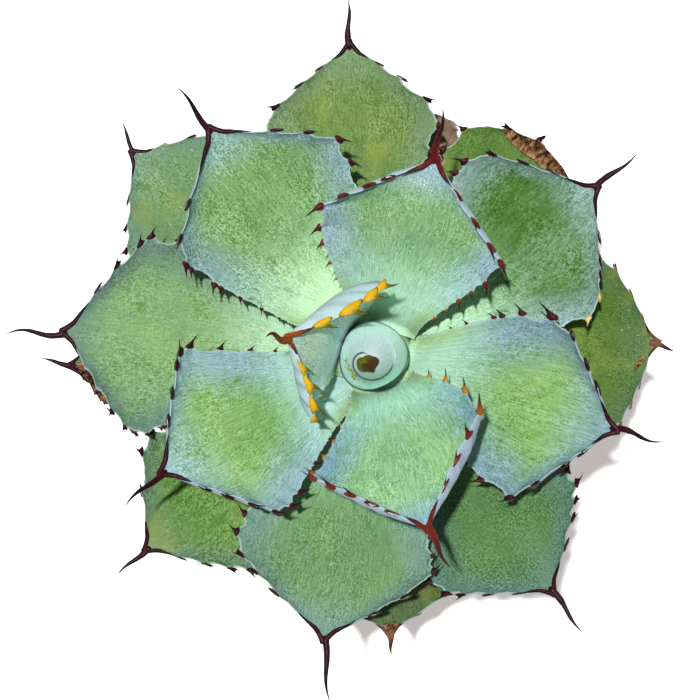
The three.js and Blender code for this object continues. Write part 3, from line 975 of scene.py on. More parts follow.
@dataclass
class Leaf:
    """One leaf: a fleshy blade, a border of hooked teeth and an end spine with two arms."""

    number: int
    azimuth: float
    reach: float
    half_width: float
    spine: float
    turn: float
    age: Age
    skin: LeafSkin
    horn: HornSkin
    left: Margin
    right: Margin
    fold: float = 1.0
    flesh: float = 1.0
    sway: float = 0.03
    thick_spine: float = 1.75
    thick_arm: float = 1.4
    first_tooth: float = 22.0
    hooked: float = 1.0
    blunt: float = 1.45
    dry_teeth: tuple[tuple[Side, float], ...] = ()
    patches: tuple[Patch, ...] = ()
    habit: Habit = Habit()
    rows: int = 150
    base_rise: float = field(init=False)
    tip_rise: float = field(init=False)
    blade_cup: float = field(init=False)
    added_cup: float = field(init=False)
    seat_radius: float = field(init=False)
    seat_level: float = field(init=False)
    length: float = field(init=False)
    heel: float = field(init=False)
    outward: np.ndarray = field(init=False)
    across: np.ndarray = field(init=False)
    edges: dict[Side, tuple[np.ndarray, np.ndarray]] = field(init=False)

    def __post_init__(self) -> None:
        """Work out the leaf's rise and length from its place in the spiral."""
        habit, index = self.habit, self.number - 1
        mean = habit.oldest_rise + habit.young_rise * math.exp(-index / habit.rise_fade)
        self.base_rise = math.radians(min(habit.steepest, mean + habit.arch))
        self.tip_rise = math.radians(mean - habit.arch)
        youth = math.exp(-index / habit.youth_fade)
        self.blade_cup, self.added_cup = (math.radians(self.fold * (old + young * youth))
                                          for old, young in (habit.blade_cup, habit.added_cup))
        self.seat_radius, self.seat_level = habit.seat(index)
        turned = self.tip_rise - self.base_rise
        plan = math.sin(self.tip_rise) - math.sin(self.base_rise)
        self.length = (self.reach - self.seat_radius) * turned / plan
        angle = math.radians(self.azimuth)
        self.outward = np.array([math.cos(angle), math.sin(angle), 0.0])
        self.across = np.array([-math.sin(angle), math.cos(angle), 0.0])
        self.heel = -habit.heel_length / self.length
        self.edges = {side: self.measure_edge(side) for side in Side}

    def margin(self, side: Side) -> Margin:
        """Return one of the two margins."""
        return self.left if side is Side.LEFT else self.right

    def rise(self, s: np.ndarray) -> np.ndarray:
        """Return the midline's rise at shares of the length, which are below zero in the heel."""
        heel = self.base_rise - (s / self.heel) * math.radians(self.habit.heel_turn)
        return np.where(s >= 0, mix(self.base_rise, self.tip_rise, s), heel)

    def width(self, s: np.ndarray) -> np.ndarray:
        """Find half the width, measured over the curve of the section.

        Args:
            s: Shares of the length.

        Returns:
            The half widths.
        """
        habit = self.habit
        lower = habit.base_width + (1 - habit.base_width) * (np.maximum(0.0, s) / habit.shoulder) ** 1.7
        upper = 1 - (1 - np.clip((1 - s) / (1 - habit.shoulder), 0, 1)) ** self.blunt
        share = np.clip(0.5 + 0.5 * (upper - lower) / habit.rounding, 0, 1)
        least = mix(upper, lower, share) - habit.rounding * share * (1 - share)
        return np.maximum(habit.tip_half_width, self.half_width * least / (1 - habit.rounding / 4))

    def thickness(self, s: np.ndarray, u: np.ndarray) -> np.ndarray:
        """Find the blade's thickness, which thins to the tip and to the margins.

        Args:
            s: Shares of the length.
            u: Shares of the half width.

        Returns:
            The thicknesses.
        """
        habit = self.habit
        lower = mix(habit.foot_flesh, habit.middle_flesh, smooth(s / 0.5))
        middle = self.flesh * mix(lower, habit.tip_flesh, smooth((s - 0.5) / 0.5))
        return mix(habit.edge_flesh, middle, 1 - np.abs(u) ** 1.6)

    def swell(self, s: np.ndarray, u: np.ndarray) -> np.ndarray:
        """Return how far the foot's inner face stands proud, so that it closes round the bud."""
        gap = np.clip(self.seat_radius - self.habit.bud_radius - 2.6, 0.0, 3.4)
        return gap * (1 - smooth(s / 0.3)) * (1 - np.abs(u) ** 2)

    def place(self, s: np.ndarray, u: np.ndarray, trim: np.ndarray | float = 0.0) -> tuple[np.ndarray, ...]:
        """Find places on the blade's middle surface.

        Args:
            s: Shares of the length, 0 at the foot and 1 at the tip.
            u: Shares of the half width, below zero on the right.
            trim: How far the margin is drawn in, in millimetres.

        Returns:
            The points, and the directions along the leaf, out of its face and out over its margin.
        """
        s, u = np.broadcast_arrays(np.asarray(s, float), np.asarray(u, float))
        habit, rise, size, side = self.habit, self.rise(s), np.abs(u), np.sign(u)
        turned = np.where(s < 0, math.radians(habit.heel_turn), self.tip_rise - self.base_rise)
        bend = turned / np.where(s < 0, habit.heel_length, self.length)
        radius = self.seat_radius + (np.sin(rise) - math.sin(self.base_rise)) / bend
        level = self.seat_level - (np.cos(rise) - math.cos(self.base_rise)) / bend

        wide, full, fold, curl, full_to = (
            np.where(u > 0, getattr(self.left, name), getattr(self.right, name))
            for name in ("wide", "full", "fold", "curl", "full_to"))
        low = smooth((s + 0.12) / 0.5) * smooth((full_to - s) / 0.35)
        span = (self.width(s) * wide + full * low - trim) * size
        blade_cup = self.blade_cup * fold
        cup = mix(math.radians(habit.foot_cup), blade_cup, smooth(s / 0.45))
        cup = mix(cup, blade_cup + self.added_cup * curl, smooth((s - 0.55) / 0.45))
        sharp = (np.where(u > 0, *pair) for pair in zip(self.left.sharp, self.right.sharp))
        power = mix(*sharp, smooth((s - 0.5) / 0.5))
        steps = 12
        sideways, lift = np.zeros_like(span), np.zeros_like(span)
        for k in range(steps):
            turn = cup * (size * (k + 0.5) / steps) ** power
            sideways = sideways + np.cos(turn) * span / steps
            lift = lift + np.sin(turn) * span / steps

        turn = (cup * size**power)[..., None]
        up = np.array([0.0, 0.0, 1.0])
        sine, cosine, side = np.sin(rise)[..., None], np.cos(rise)[..., None], side[..., None]
        along = cosine * self.outward + sine * up
        inward = cosine * up - sine * self.outward
        point = radius[..., None] * self.outward + level[..., None] * up
        point = point + side * sideways[..., None] * self.across + lift[..., None] * inward
        face = np.cos(turn) * inward - side * np.sin(turn) * self.across
        edge = np.sin(turn) * inward + side * np.cos(turn) * self.across
        return point, along, face, edge

    def measure_edge(self, side: Side) -> tuple[np.ndarray, np.ndarray]:
        """Measure one margin.

        Args:
            side: Which margin.

        Returns:
            Shares of the length down the margin, and how far down from the tip each one lies.
        """
        s = np.linspace(1.0, self.heel, 500)
        points = self.place(s, float(side.value))[0]
        steps = np.linalg.norm(np.diff(points, axis=0), axis=1)
        return s, np.concatenate([[0.0], np.cumsum(steps)])

    def marks(self, side: Side) -> Marks:
        """Find the teeth of one margin: those measured, and more down to the foot.

        Args:
            side: Which margin.

        Returns:
            Each tooth's distance down from the tip, and its size.
        """
        rng = np.random.default_rng(self.number * 10 + side.value + 5)
        marks = list(self.margin(side).teeth)
        total = self.edges[side][1][-1] - 12.0
        run = marks[-1][0] + 13.0 if marks else 24.0 + rng.uniform(0, 4)
        while run < total:
            lowness = run / total
            size = mix(6.5, 1.6, smooth((lowness - 0.42) / 0.45)) * mix(0.75, 1.0, smooth((run - 20) / 25))
            marks.append((run, size * rng.uniform(0.85, 1.12)))
            run += mix(11.5, 8.0, lowness) * rng.uniform(0.85, 1.15)
        return tuple(marks)

    def trim(self, down: np.ndarray, side: Side) -> np.ndarray:
        """Shape one margin: drawn in between the teeth, and raised in a teat under each.

        Args:
            down: Distances down the margin from the tip.
            side: Which margin.

        Returns:
            How far the margin is drawn in.
        """
        nearest, teat = np.full(down.shape, 99.0), np.zeros(down.shape)
        for where, size in self.marks(side):
            away = np.abs(down - where)
            nearest = np.minimum(nearest, away)
            teat = np.maximum(teat, (0.22 * size + 0.3) * bump(away, 0.26 * size + 0.9))
        calm = 1 - 0.75 * smooth((down / self.edges[side][1][-1] - 0.42) / 0.2)
        hollow = 1.5 * calm * (1 - bump(nearest, 3.6, 1.5))
        rough = 0.35 * ripple(down / 3.1, down * 0.0, self.number * 3 + side.value)
        return (hollow + rough) * smooth((down - 9) / 14) - teat * (0.4 + 0.6 * calm)

    def dryness(self, s: np.ndarray, u: np.ndarray) -> np.ndarray:
        """Find how withered each place is.

        Args:
            s: Shares of the length.
            u: Shares of the half width.

        Returns:
            The amounts, from 0 to 1.
        """
        amount = np.zeros(s.shape)
        for patch in self.patches:
            away = np.hypot((s - patch.along) / patch.long, (u - patch.across) / patch.wide)
            amount = np.maximum(amount, patch.amount * smooth(1.6 - away))
        return amount

    def blade(self) -> bpy.types.Object:
        """Drape a sheet round the blade, over its upper face and back under it.

        Returns:
            The closed blade, which carries its "lie" and its "state".
        """
        top = [*np.linspace(0, 0.9, 13)[1:], 0.935, 0.96, 0.978, 0.990, 0.997, 1.0]
        low = [*np.linspace(0, 0.9, 8)[1:], 0.96, 0.990, 1.0]
        upper = [-u for u in reversed(top)] + [0.0] + top
        lower = low[::-1][1:] + [0.0] + [-u for u in low]
        faces = np.array([1.0] * len(upper) + [-1.0] * len(lower))
        columns = np.array(upper + lower)
        piece, column, row = Bench.sheet(f"leaf_{self.number:02d}_blade", len(columns) - 1, self.rows)
        u, face, s = columns[column], faces[column], mix(self.heel, 1.0, row / self.rows)
        size, run, wide, seed = np.abs(u), s * self.length, self.width(s), self.number

        cuts = []
        for side in Side:
            stations, downs = self.edges[side]
            cuts.append(self.trim(np.interp(-s, -stations, downs), side))
        dry = self.dryness(s, u)
        trim = np.where(u > 0, *cuts) * size**3
        trim = trim + dry * (1.8 + 3.6 * ripple(run / 7, u * 3, seed + 40, 4)) * size**4
        point, _, normal, _ = self.place(s, u, trim)

        roundness = np.sqrt(np.clip(1 - np.clip((size - 0.96) / 0.04, 0, 1) ** 2, 0, 1))
        depth = self.thickness(s, u) * (1 - 0.45 * dry) * roundness * np.where(face > 0, 0.4, -0.6)
        depth = depth + np.where(face > 0, self.swell(s, u), 0.0)
        depth = depth + ripple(run / 70, u * wide / 60, seed, 2) * 0.8 * smooth((s - 0.25) / 0.3)
        depth = depth + ripple(run / 16, u * wide / 26, seed + 70, 2) * 0.22 * smooth(s / 0.3)
        depth = depth + ripple(run / 8, u * wide / 6, seed + 90, 4) * 4.0 * dry
        Bench.move(piece, (point + normal * depth[:, None]) * MM)

        fan = self.width(np.minimum(s, self.habit.shoulder))
        rim = np.minimum((1 - size) * wide, (1 - s) * self.length * 0.72 + 3.0)
        Bench.mark(piece, "lie", 40 * u * wide / fan, run, self.number * 18.3)
        Bench.mark(piece, "state", rim, np.where((face < 0) & (size < 1), 1.0, 0.0), dry)
        Bench.seal()
        return piece

    def teeth(self, hook: bpy.types.Object) -> bpy.types.Object:
        """Set copies of one modelled hook along both margins.

        Args:
            hook: The hook, of unit size, which stands on the XY plane and bends to +X.

        Returns:
            All the leaf's teeth as one piece.
        """
        rng = np.random.default_rng(self.number)
        shape = Bench.points(hook)
        copies = []
        for side in Side:
            stations, downs = self.edges[side]
            for where, size in self.marks(side):
                trim = self.trim(np.array([where]), side)
                here = [np.interp(where, downs, stations)]
                point, _, normal, edge = (v[0] for v in self.place(here, [float(side.value)], trim))
                near = np.interp([where - 1.5, where + 1.5], downs, stations)
                along = unit(-np.diff(self.place(near, np.full(2, float(side.value)))[0], axis=0)[0])
                edge = unit(edge - along * (edge @ along))
                lean, hang = rng.uniform(-0.15, 0.3), rng.uniform(-0.15, 0.2)
                grown = smooth((where - self.first_tooth) / 16)
                reach = self.hooked * float(mix(0.3, rng.uniform(0.9, 1.2), grown))
                out = unit(edge - lean * along + hang * normal)
                base = point - edge * (0.10 * size + 0.15) + normal * 0.15
                x, y, z = (shape[:, k : k + 1] * size for k in range(3))
                x = x * mix(1.5, 1.0, smooth((where - 16) / 24))
                points = base - along * x + normal * y + out * z * reach
                low = 2.0 if (side, where) in self.dry_teeth else where / downs[-1]
                copies.append(Bench.copy(hook, points, shape[:, 2] / 0.72, low, rng.uniform()))
        return Bench.join(copies, f"leaf_{self.number:02d}_teeth")

    def bent(self, stock: bpy.types.Object, path: np.ndarray, first: np.ndarray, radius: float,
             low: float = 0.0, flat: float = 1.0) -> bpy.types.Object:
        """Bend a copy of the straight horn along a path.

        Args:
            stock: The straight horn, of unit length and radius.
            path: Points along the new horn.
            first: A direction across the path.
            radius: Its radius at the foot.
            low: How near to the leaf's foot it is, for its colour.
            flat: Its second radius, as a share of the first.

        Returns:
            The bent copy.
        """
        shape = Bench.points(stock)
        share = shape[:, 2]
        knots = np.linspace(0, 1, len(path))
        centre, ahead = (np.stack([np.interp(share, knots, line[:, k]) for k in range(3)], axis=1)
                         for line in (path, np.gradient(path, axis=0)))
        ahead = unit(ahead)
        side = unit(first - ahead * (ahead @ first)[:, None])
        over = np.cross(ahead, side)
        lumps = ripple(share * len(path) / 9, share * 0.0, self.number + int(100 * low), 2)
        uneven = radius * mix(0.4, 1.0, smooth(share / 0.07)) * (1 + 0.13 * lumps)
        points = centre + (side * shape[:, :1] + over * shape[:, 1:2] * flat) * uneven[:, None]
        return Bench.copy(stock, points, share, low, 0.5)

    def end_horn(self, stock: bpy.types.Object) -> bpy.types.Object:
        """Bend the end spine and the two arms that run from it down the margins.

        Args:
            stock: The straight horn.

        Returns:
            The three as one piece.
        """
        tip, along, normal, _ = (v[0] for v in self.place([1.0], [0.0]))
        share = np.linspace(0, 1, 30)[:, None]
        swing = math.sin(math.radians(self.turn)) * share**1.3 + self.sway * np.sin(WHOLE_TURN * share)
        path = tip + along * (self.spine * share - 1.3 * (1 - share) ** 2)
        path = path + self.across * self.spine * swing + normal * self.spine * 0.05 * share**2
        copies = [self.bent(stock, path, self.across, self.thick_spine)]
        for side in Side:
            arm = self.margin(side).arm
            if arm > 0:
                stations, downs = self.edges[side]
                down = np.linspace(0, arm, 24)
                s = np.interp(down, downs, stations)
                point, _, face, edge = self.place(s, np.full(24, float(side.value)), self.trim(down, side))
                path = mix(tip + along * 3.4, point + face * 0.2 - edge * 0.3, smooth(down / 4.5)[:, None])
                copies.append(self.bent(stock, path, face[8], self.thick_arm, 0.04, 0.85))
        return Bench.join(copies, f"leaf_{self.number:02d}_horn")

    def build(self, hook: bpy.types.Object, stock: bpy.types.Object) -> None:
        """Build the leaf's pieces and dress them.

        Args:
            hook: The tooth that its teeth are copied from.
            stock: The straight horn that its spine and arms are bent from.
        """
        blade_slot, horn_slot = self.age.value
        node = f"leaf_{self.number:02d}"
        fit(self.blade(), self.skin.material(f"{node}_skin"), blade_slot, node)
        horn = self.horn.material(f"{node}_horn")
        fit(self.end_horn(stock), horn, horn_slot, f"{node}_spine")
        fit(self.teeth(hook), horn, horn_slot)


@dataclass
class Bud:
    """The youngest leaves, rolled round each other into a cone.

    A tooth on its lapping edge is a share of the height, an angle round the bud, the way that the tooth
    points and its size.
    """

    girth: tuple[float, ...] = (14.9, 14.0, 14.7, 14.6, 14.8, 16.4, 14.8, 13.4)
    shoulder: float = 14.0
    height: float = 89.0
    foot_level: float = 190.3
    cut: float = 0.93
    twist: float = -900.0
    lap: float = 0.07
    lean: tuple[float, float] = (-3.3, -4.1)
    spine: float = 16.0
    spine_radius: float = 2.1
    spine_root: float = 3.0
    teeth: tuple[tuple[float, float, float, float], ...] = (
        (0.66, 205.0, 150.0, 5.0), (0.72, 218.0, 290.0, 6.0),
        (0.50, 226.0, 60.0, 5.0), (0.60, 188.0, 130.0, 4.4),
    )
    columns: int = 160
    rows: int = 170
    cap_columns: int = 60
    cap_rows: int = 12

    @staticmethod
    def heading(angle: np.ndarray | float, rise: float = 0.0) -> np.ndarray:
        """Return the directions at angles in degrees, each with the same rise along Z."""
        turn = np.radians(angle)
        return np.stack([np.cos(turn), np.sin(turn), np.full(np.shape(turn), rise)], axis=-1)

    def outline(self, angle: np.ndarray) -> np.ndarray:
        """Smooth the girth's radius from its eight measured ones.

        Args:
            angle: Angles round the bud, in degrees.

        Returns:
            The radii.
        """
        waves = np.fft.rfft(self.girth) / len(self.girth)
        turn = np.radians(angle)
        total = np.full(np.shape(turn), waves[0].real)
        for k in (1, 2, 3):
            total = total + 2 * (waves[k].real * np.cos(k * turn) - waves[k].imag * np.sin(k * turn))
        return total

    def surface(self, share: np.ndarray, angle: np.ndarray) -> tuple[np.ndarray, np.ndarray]:
        """Find places on the bud.

        Args:
            share: Shares of its height.
            angle: Angles round it, in degrees.

        Returns:
            The points, and how far each lies round from the lapping edge, 0 to 1.
        """
        phase = (angle - 190 - self.twist * (share - 0.80)) / 360
        phase = phase - np.floor(phase)
        step = np.where(phase < 0.985, phase / 0.985, (1 - phase) / 0.015)
        seen = smooth((0.95 - share) / 0.08) * smooth((share - 0.55) / 0.12)
        lap = 1 + self.lap * seen * (step**0.8 - 0.6)
        radius = mix(self.outline(angle), self.shoulder, smooth(share / 0.5))
        radius = radius * lap * (1 - np.minimum(share, 1.0) ** 1.9) ** 0.72
        turn = np.radians(angle)
        x = radius * np.cos(turn) + self.lean[0] * share**2
        y = radius * np.sin(turn) + self.lean[1] * share**2
        return np.stack([x, y, self.foot_level + self.height * share], axis=1), phase

    def cone(self) -> bpy.types.Object:
        """Drape a sheet round the cone.

        Returns:
            The closed cone, which carries its "lie".
        """
        piece, column, row = Bench.sheet("bud_cone", self.columns, self.rows)
        share = np.interp(row / self.rows, (0.0, 0.22, 0.88, 1.0), (0.0, 0.58, 0.95, 0.985))
        angle = 360.0 * (column % self.columns) / self.columns
        points, phase = self.surface(share, angle)
        Bench.move(piece, points * MM)
        # Mask of the painted shade along each lapping edge, strongest at the edge itself.
        crease_shade = bump(np.minimum(phase, 1 - phase), 0.022, 4)
        crease_shade = crease_shade * smooth((0.93 - share) / 0.06) * smooth((share - 0.60) / 0.04)
        Bench.mark(piece, "lie", angle / 360 * 60, share * self.height, crease_shade)
        Bench.seal()
        return piece

    def cap(self) -> bpy.types.Object:
        """Drape the olive horn cap over the bud's tip.

        Returns:
            The closed cap, which carries its "grow".
        """
        piece, column, row = Bench.sheet("bud_cap", self.cap_columns, self.cap_rows)
        angle = 360.0 * (column % self.cap_columns) / self.cap_columns
        high = row / self.cap_rows
        border = 0.905 - 0.022 * np.cos(np.radians(angle * 2 - 20))
        border = border + 0.008 * np.sin(np.radians(angle * 5 + 200)) - 0.03 * bump(angle - 305, 12)
        points, _ = self.surface(mix(border, 0.992, high), angle)
        lift = 0.45 * np.sqrt(np.minimum(1.0, row / 2)) - 0.12
        Bench.move(piece, (points + self.heading(angle, 0.25) * lift[:, None]) * MM)
        brown = 0.30 + 0.32 * np.cos(np.radians(angle - 350)) + 0.15 * high
        Bench.mark(piece, "grow", brown, 0.0, 0.5)
        Bench.seal()
        return piece

    def tip(self, stock: bpy.types.Object, hook: bpy.types.Object) -> bpy.types.Object:
        """Model the horn over the bud's tip, with a few small teeth on the lapping edge.

        Args:
            stock: The straight horn.
            hook: The tooth.

        Returns:
            The horn as one piece.
        """
        shape = Bench.points(stock)
        share = shape[:, 2]
        ends = self.surface(np.array([self.cut, self.cut]), np.array([0.0, 180.0]))[0]
        start = (ends[0] + ends[1]) / 2
        points = np.stack([
            start[0] + self.lean[0] * 0.5 * share + shape[:, 0] * self.spine_radius,
            start[1] + self.lean[1] * 0.5 * share + shape[:, 1] * self.spine_radius,
            start[2] - self.spine_root + (self.spine + self.spine_root) * share,
        ], axis=1)
        copies = [self.cap(), Bench.copy(stock, points, 0.75 + 0.25 * share, 0.0, 0.5)]
        shape = Bench.points(hook)
        for high, turned, aim, size in self.teeth:
            here = self.surface(np.array([high]), np.array([turned]))[0][0]
            out, ahead = unit(self.heading(turned, 0.6)), self.heading(aim)
            side = unit(ahead - out * (ahead @ out))
            x, y, z = (shape[:, k : k + 1] * size for k in range(3))
            points = here - out * 0.08 * size + side * x + np.cross(out, side) * y + out * z * 0.5
            copies.append(Bench.copy(hook, points, shape[:, 2] * 0.4, 1.0, 0.5))
        return Bench.join(copies, "bud_tip")

    def build(self, hook: bpy.types.Object, stock: bpy.types.Object) -> None:
        """Build the bud's pieces and dress them.

        Args:
            hook: The tooth that its teeth are copied from.
            stock: The straight horn that its spine is shaped from.
        """
        fit(self.cone(), BudSkin().material("bud_skin"), "bud", "bud")
        fit(self.tip(stock, hook), OLIVE.material("bud_horn"), "bud_spine", "bud_spine")


@dataclass
class Stem:
    """The short stem, with the dry remains of leaves that it has shed."""

    foot_level: float = 98.0
    foot_radius: float = 17.0
    habit: Habit = Habit()
    leaf_depth: float = 4.2
    scars: int = 12
    shed: int = 15
    spiral: float = 137.5

    def profile(self) -> list[tuple[float, float]]:
        """Draw the stem's profile, with a shallow ring at the scar of each shed leaf.

        Returns:
            The radius and the level of each point, in millimetres.
        """
        habit, foot, level = self.habit, self.foot_radius, self.foot_level
        outline = [(0.0, level), (foot, level)]
        outline += [(foot + 0.25 * (k % 2), level + 2 + 2.4 * k) for k in range(self.scars)]
        for index in (17, 12, 7, 3, 1):
            radius, seat = habit.seat(index)
            outline.append((radius - self.leaf_depth, seat - 4))
        return outline + [(habit.seat_radius - self.leaf_depth, habit.crown_level), (0.0, habit.crown_level)]

    def core(self) -> bpy.types.Object:
        """Turn the stem and roughen it a little.

        Returns:
            The stem.
        """
        piece = Bench.turned("stem_core", self.profile(), 48)
        Bench.edit()
        bpy.ops.mesh.subdivide(number_cuts=1)
        Bench.done()
        points = Bench.points(piece)
        angle, level = np.arctan2(points[:, 1], points[:, 0]), points[:, 2]
        swell = 1 + 0.02 * np.sin(angle * 5 + level * 900) + 0.012 * np.sin(angle * 11 - level * 1500)
        points[:, :2] *= swell[:, None]
        Bench.move(piece, points)
        bpy.ops.object.shade_smooth()
        return piece

    def scale(self) -> bpy.types.Object:
        """Model one dry leaf base: a plate narrowed to a ragged end, thickened and smoothed.

        Returns:
            The plate, about one unit wide and tall.
        """
        piece = Bench.sheet("stem_scale", 8, 6)[0]
        points = Bench.points(piece)
        high = points[:, 1] + 0.5
        points[:, 0] *= mix(1.0, 0.35, high**1.4)
        points[:, 1] = high * (1 - 0.5 * np.abs(points[:, 0])) + 0.05 * np.sin(points[:, 0] * 31)
        points[:, 2] = 0.10 * np.sin(points[:, 0] * 9) * high
        Bench.move(piece, points)
        Bench.apply(piece, "SOLIDIFY", thickness=0.09, offset=0.0)
        Bench.apply(piece, "SUBSURF", levels=1, render_levels=1)
        return piece

    def scales(self) -> bpy.types.Object:
        """Set copies of the dry leaf base round the foot of the stem.

        Returns:
            All of them as one piece.
        """
        stock = self.scale()
        shape = Bench.points(stock)
        rng = np.random.default_rng(7)
        copies = []
        for k in range(self.shed):
            turned = math.radians(self.spiral * k + rng.uniform(-8, 8))
            level = 126.5 + 0.55 * k
            wide, tall = rng.uniform(17, 22), rng.uniform(6, 10)
            angle = turned + shape[:, 0] * wide / (self.foot_radius + 1)
            lean = 0.5 + shape[:, 1] * tall * rng.uniform(0.2, 0.42) + shape[:, 2] * 9
            radius = self.foot_radius + lean + (level - 126) * 0.17
            x, y, z = radius * np.cos(angle), radius * np.sin(angle), level + shape[:, 1] * tall
            copies.append(Bench.copy(stock, np.stack([x, y, z], axis=1), 0.0, 0.0, 0.0))
        bpy.data.objects.remove(stock)
        return Bench.join(copies, "stem_scales")

    def build(self) -> None:
        """Build the stem's pieces and dress them."""
        fit(self.core(), FibreSkin().material("stem_fibre"), "stem", "stem")
        dry = FibreSkin((0.30, 0.19, 0.10), (0.085, 0.05, 0.028))
        fit(self.scales(), dry.material("stem_scale_fibre"), "stem")


@dataclass
class Pot:
    """A plain turned clay pot with a rim and three drainage holes."""

    height: float = 140.0
    foot_radius: float = 52.0
    neck_radius: float = 70.0
    rim_radius: float = 80.0
    rim_depth: float = 30.0
    wall: float = 7.5
    floor: float = 9.0
    drains: int = 3
    drain_radius: float = 4.5
    drain_ring: float = 24.0

    def inner_radius(self, level: float) -> float:
        """Find the inside radius.

        Args:
            level: The level, in millimetres.

        Returns:
            The radius at that level, in millimetres.
        """
        share = (level - self.floor) / (self.height - self.floor)
        return mix(self.foot_radius - self.wall, self.rim_radius - self.wall - 2.5, share)

    def profile(self) -> list[tuple[float, float]]:
        """Draw the pot's profile, with its corners rounded as a thrower leaves them.

        Returns:
            The radius and the level of each point, in millimetres.
        """
        foot, neck, rim, top = self.foot_radius, self.neck_radius, self.rim_radius, self.height
        base, mouth = top - self.rim_depth, self.inner_radius(top)
        outside = [(mix(foot, neck, share), base * share) for share in np.linspace(0.05, 0.97, 12)]
        inside = [(self.inner_radius(level), level) for level in (top - 3.5, 100.0, 60.0, self.floor + 3)]
        return [
            (0.0, 0.0), (foot - 2.2, 0.0), (foot - 0.7, 0.5), (foot, 1.8), *outside,
            (neck + 0.3, base - 0.8), (neck + 1.4, base), (rim - 2.6, base), (rim - 1.4, base + 0.5),
            (rim - 0.9, base + 1.8), (rim - 0.6, base + 12), (rim, top - 3.2), (rim - 0.5, top - 1.2),
            (rim - 2.0, top), (mouth + 2.2, top), (mouth + 0.5, top - 0.8), *inside,
            (self.inner_radius(self.floor) - 3, self.floor), (0.0, self.floor),
        ]

    def build(self) -> None:
        """Turn the pot, drill its drainage holes and dress it."""
        pot = Bench.turned("clay_pot", self.profile(), 128)
        ring = self.drain_ring * MM
        for k in range(self.drains):
            angle = WHOLE_TURN * k / self.drains
            spot = (ring * math.cos(angle), ring * math.sin(angle), 0.0)
            Bench.clear()
            bpy.ops.mesh.primitive_cylinder_add(
                vertices=32, radius=self.drain_radius * MM, depth=0.04, location=spot)
            drill = Bench.named("drill")
            Bench.apply(pot, "BOOLEAN", object=drill, operation="DIFFERENCE", solver="EXACT")
            bpy.data.objects.remove(drill)
        bpy.ops.object.shade_smooth_by_angle(angle=math.radians(40))
        fit(pot, ClaySkin().material("terracotta"), "clay", "pot")


@dataclass
class Soil:
    """The potting mix that fills the pot, and the grit laid on it."""

    level: float = 126.0
    heap: float = 2.0
    bottom: float = 9.3
    hole_radius: float = 17.3
    hole_level: float = 97.7
    stones: int = 620
    stone_kinds: int = 5
    flatness: float = 0.7
    pot: Pot = field(default_factory=Pot)

    @property
    def wall(self) -> float:
        """Return the radius of the surface's edge, just inside the pot."""
        return self.pot.inner_radius(self.level - self.heap) - 0.3

    def top(self, radius: float) -> float:
        """Return the level of the surface at a radius; it rises a little to the stem."""
        share = (radius - self.hole_radius) / (self.wall - self.hole_radius)
        return mix(self.level + self.heap, self.level - self.heap, share)

    def bed(self) -> bpy.types.Object:
        """Turn the bed of mix, with its top finely divided, and roughen that.

        Returns:
            The bed.
        """
        wall, hole = self.wall, self.hole_radius
        outline = [(0.0, self.bottom), (self.pot.inner_radius(self.bottom) - 3.3, self.bottom)]
        outline += [(wall, self.level - self.heap)]
        outline += [(float(radius), float(self.top(radius))) for radius in np.linspace(wall, hole, 26)[1:]]
        outline += [(hole, self.hole_level), (0.0, self.hole_level)]
        piece = Bench.turned("soil_bed", outline, 120)
        points = Bench.points(piece)
        radius = np.hypot(points[:, 0], points[:, 1]) / MM
        loose = (points[:, 2] / MM > self.level - 3) & (radius > hole + 1) & (radius < wall - 1)
        lumps = ripple(points[:, 0] * 70, points[:, 1] * 70, 3, 4) * 1.1 - 0.7
        points[:, 2] += np.where(loose, lumps * MM, 0.0)
        Bench.move(piece, points)
        bpy.ops.object.shade_smooth()
        return piece

    def stone(self, seed: int) -> bpy.types.Object:
        """Model one stone: a ball cut flat on several sides.

        Args:
            seed: Picks the cuts.

        Returns:
            The stone, about one unit across.
        """
        rng = np.random.default_rng(seed)
        Bench.clear()
        bpy.ops.mesh.primitive_ico_sphere_add(subdivisions=1, radius=0.55)
        piece = Bench.named(f"stone_{seed}")
        for _ in range(4):
            Bench.edit()
            away = unit(rng.normal(size=3))
            cut = {"plane_co": away * rng.uniform(0.26, 0.38), "plane_no": away}
            bpy.ops.mesh.bisect(use_fill=True, clear_outer=True, **cut)
        Bench.done()
        return piece

    def grit(self) -> bpy.types.Object:
        """Scatter copies of a few stones over the bed.

        Returns:
            All of them as one piece.
        """
        rng = np.random.default_rng(11)
        stock = [self.stone(seed) for seed in range(self.stone_kinds)]
        wall = self.pot.inner_radius(self.level) - 3.5
        copies = []
        for k in range(self.stones):
            one = stock[k % len(stock)]
            size = rng.uniform(2.0, 5.2)
            radius = math.sqrt(rng.uniform((self.hole_radius + 3.5) ** 2, wall**2))
            angle, spin = rng.uniform(0, WHOLE_TURN, 2)
            sine, cosine = math.sin(spin), math.cos(spin)
            turn = np.array([[cosine, -sine, 0], [sine, cosine, 0], [0, 0, self.flatness]])
            level = self.top(radius) + 0.05 * size
            middle = np.array([radius * math.cos(angle), radius * math.sin(angle), level])
            points = Bench.points(one) @ turn.T * size + middle
            copies.append(Bench.copy(one, points, 0.0, 0.0, rng.uniform()))
        for one in stock:
            bpy.data.objects.remove(one)
        piece = Bench.join(copies, "soil_grit")
        bpy.ops.object.shade_flat()
        return piece

    def build(self) -> None:
        """Build the bed and the grit and dress them."""
        fit(self.bed(), SoilSkin().material("potting_mix"), "soil", "soil")
        fit(self.grit(), GritSkin().material("grit"), "soil")


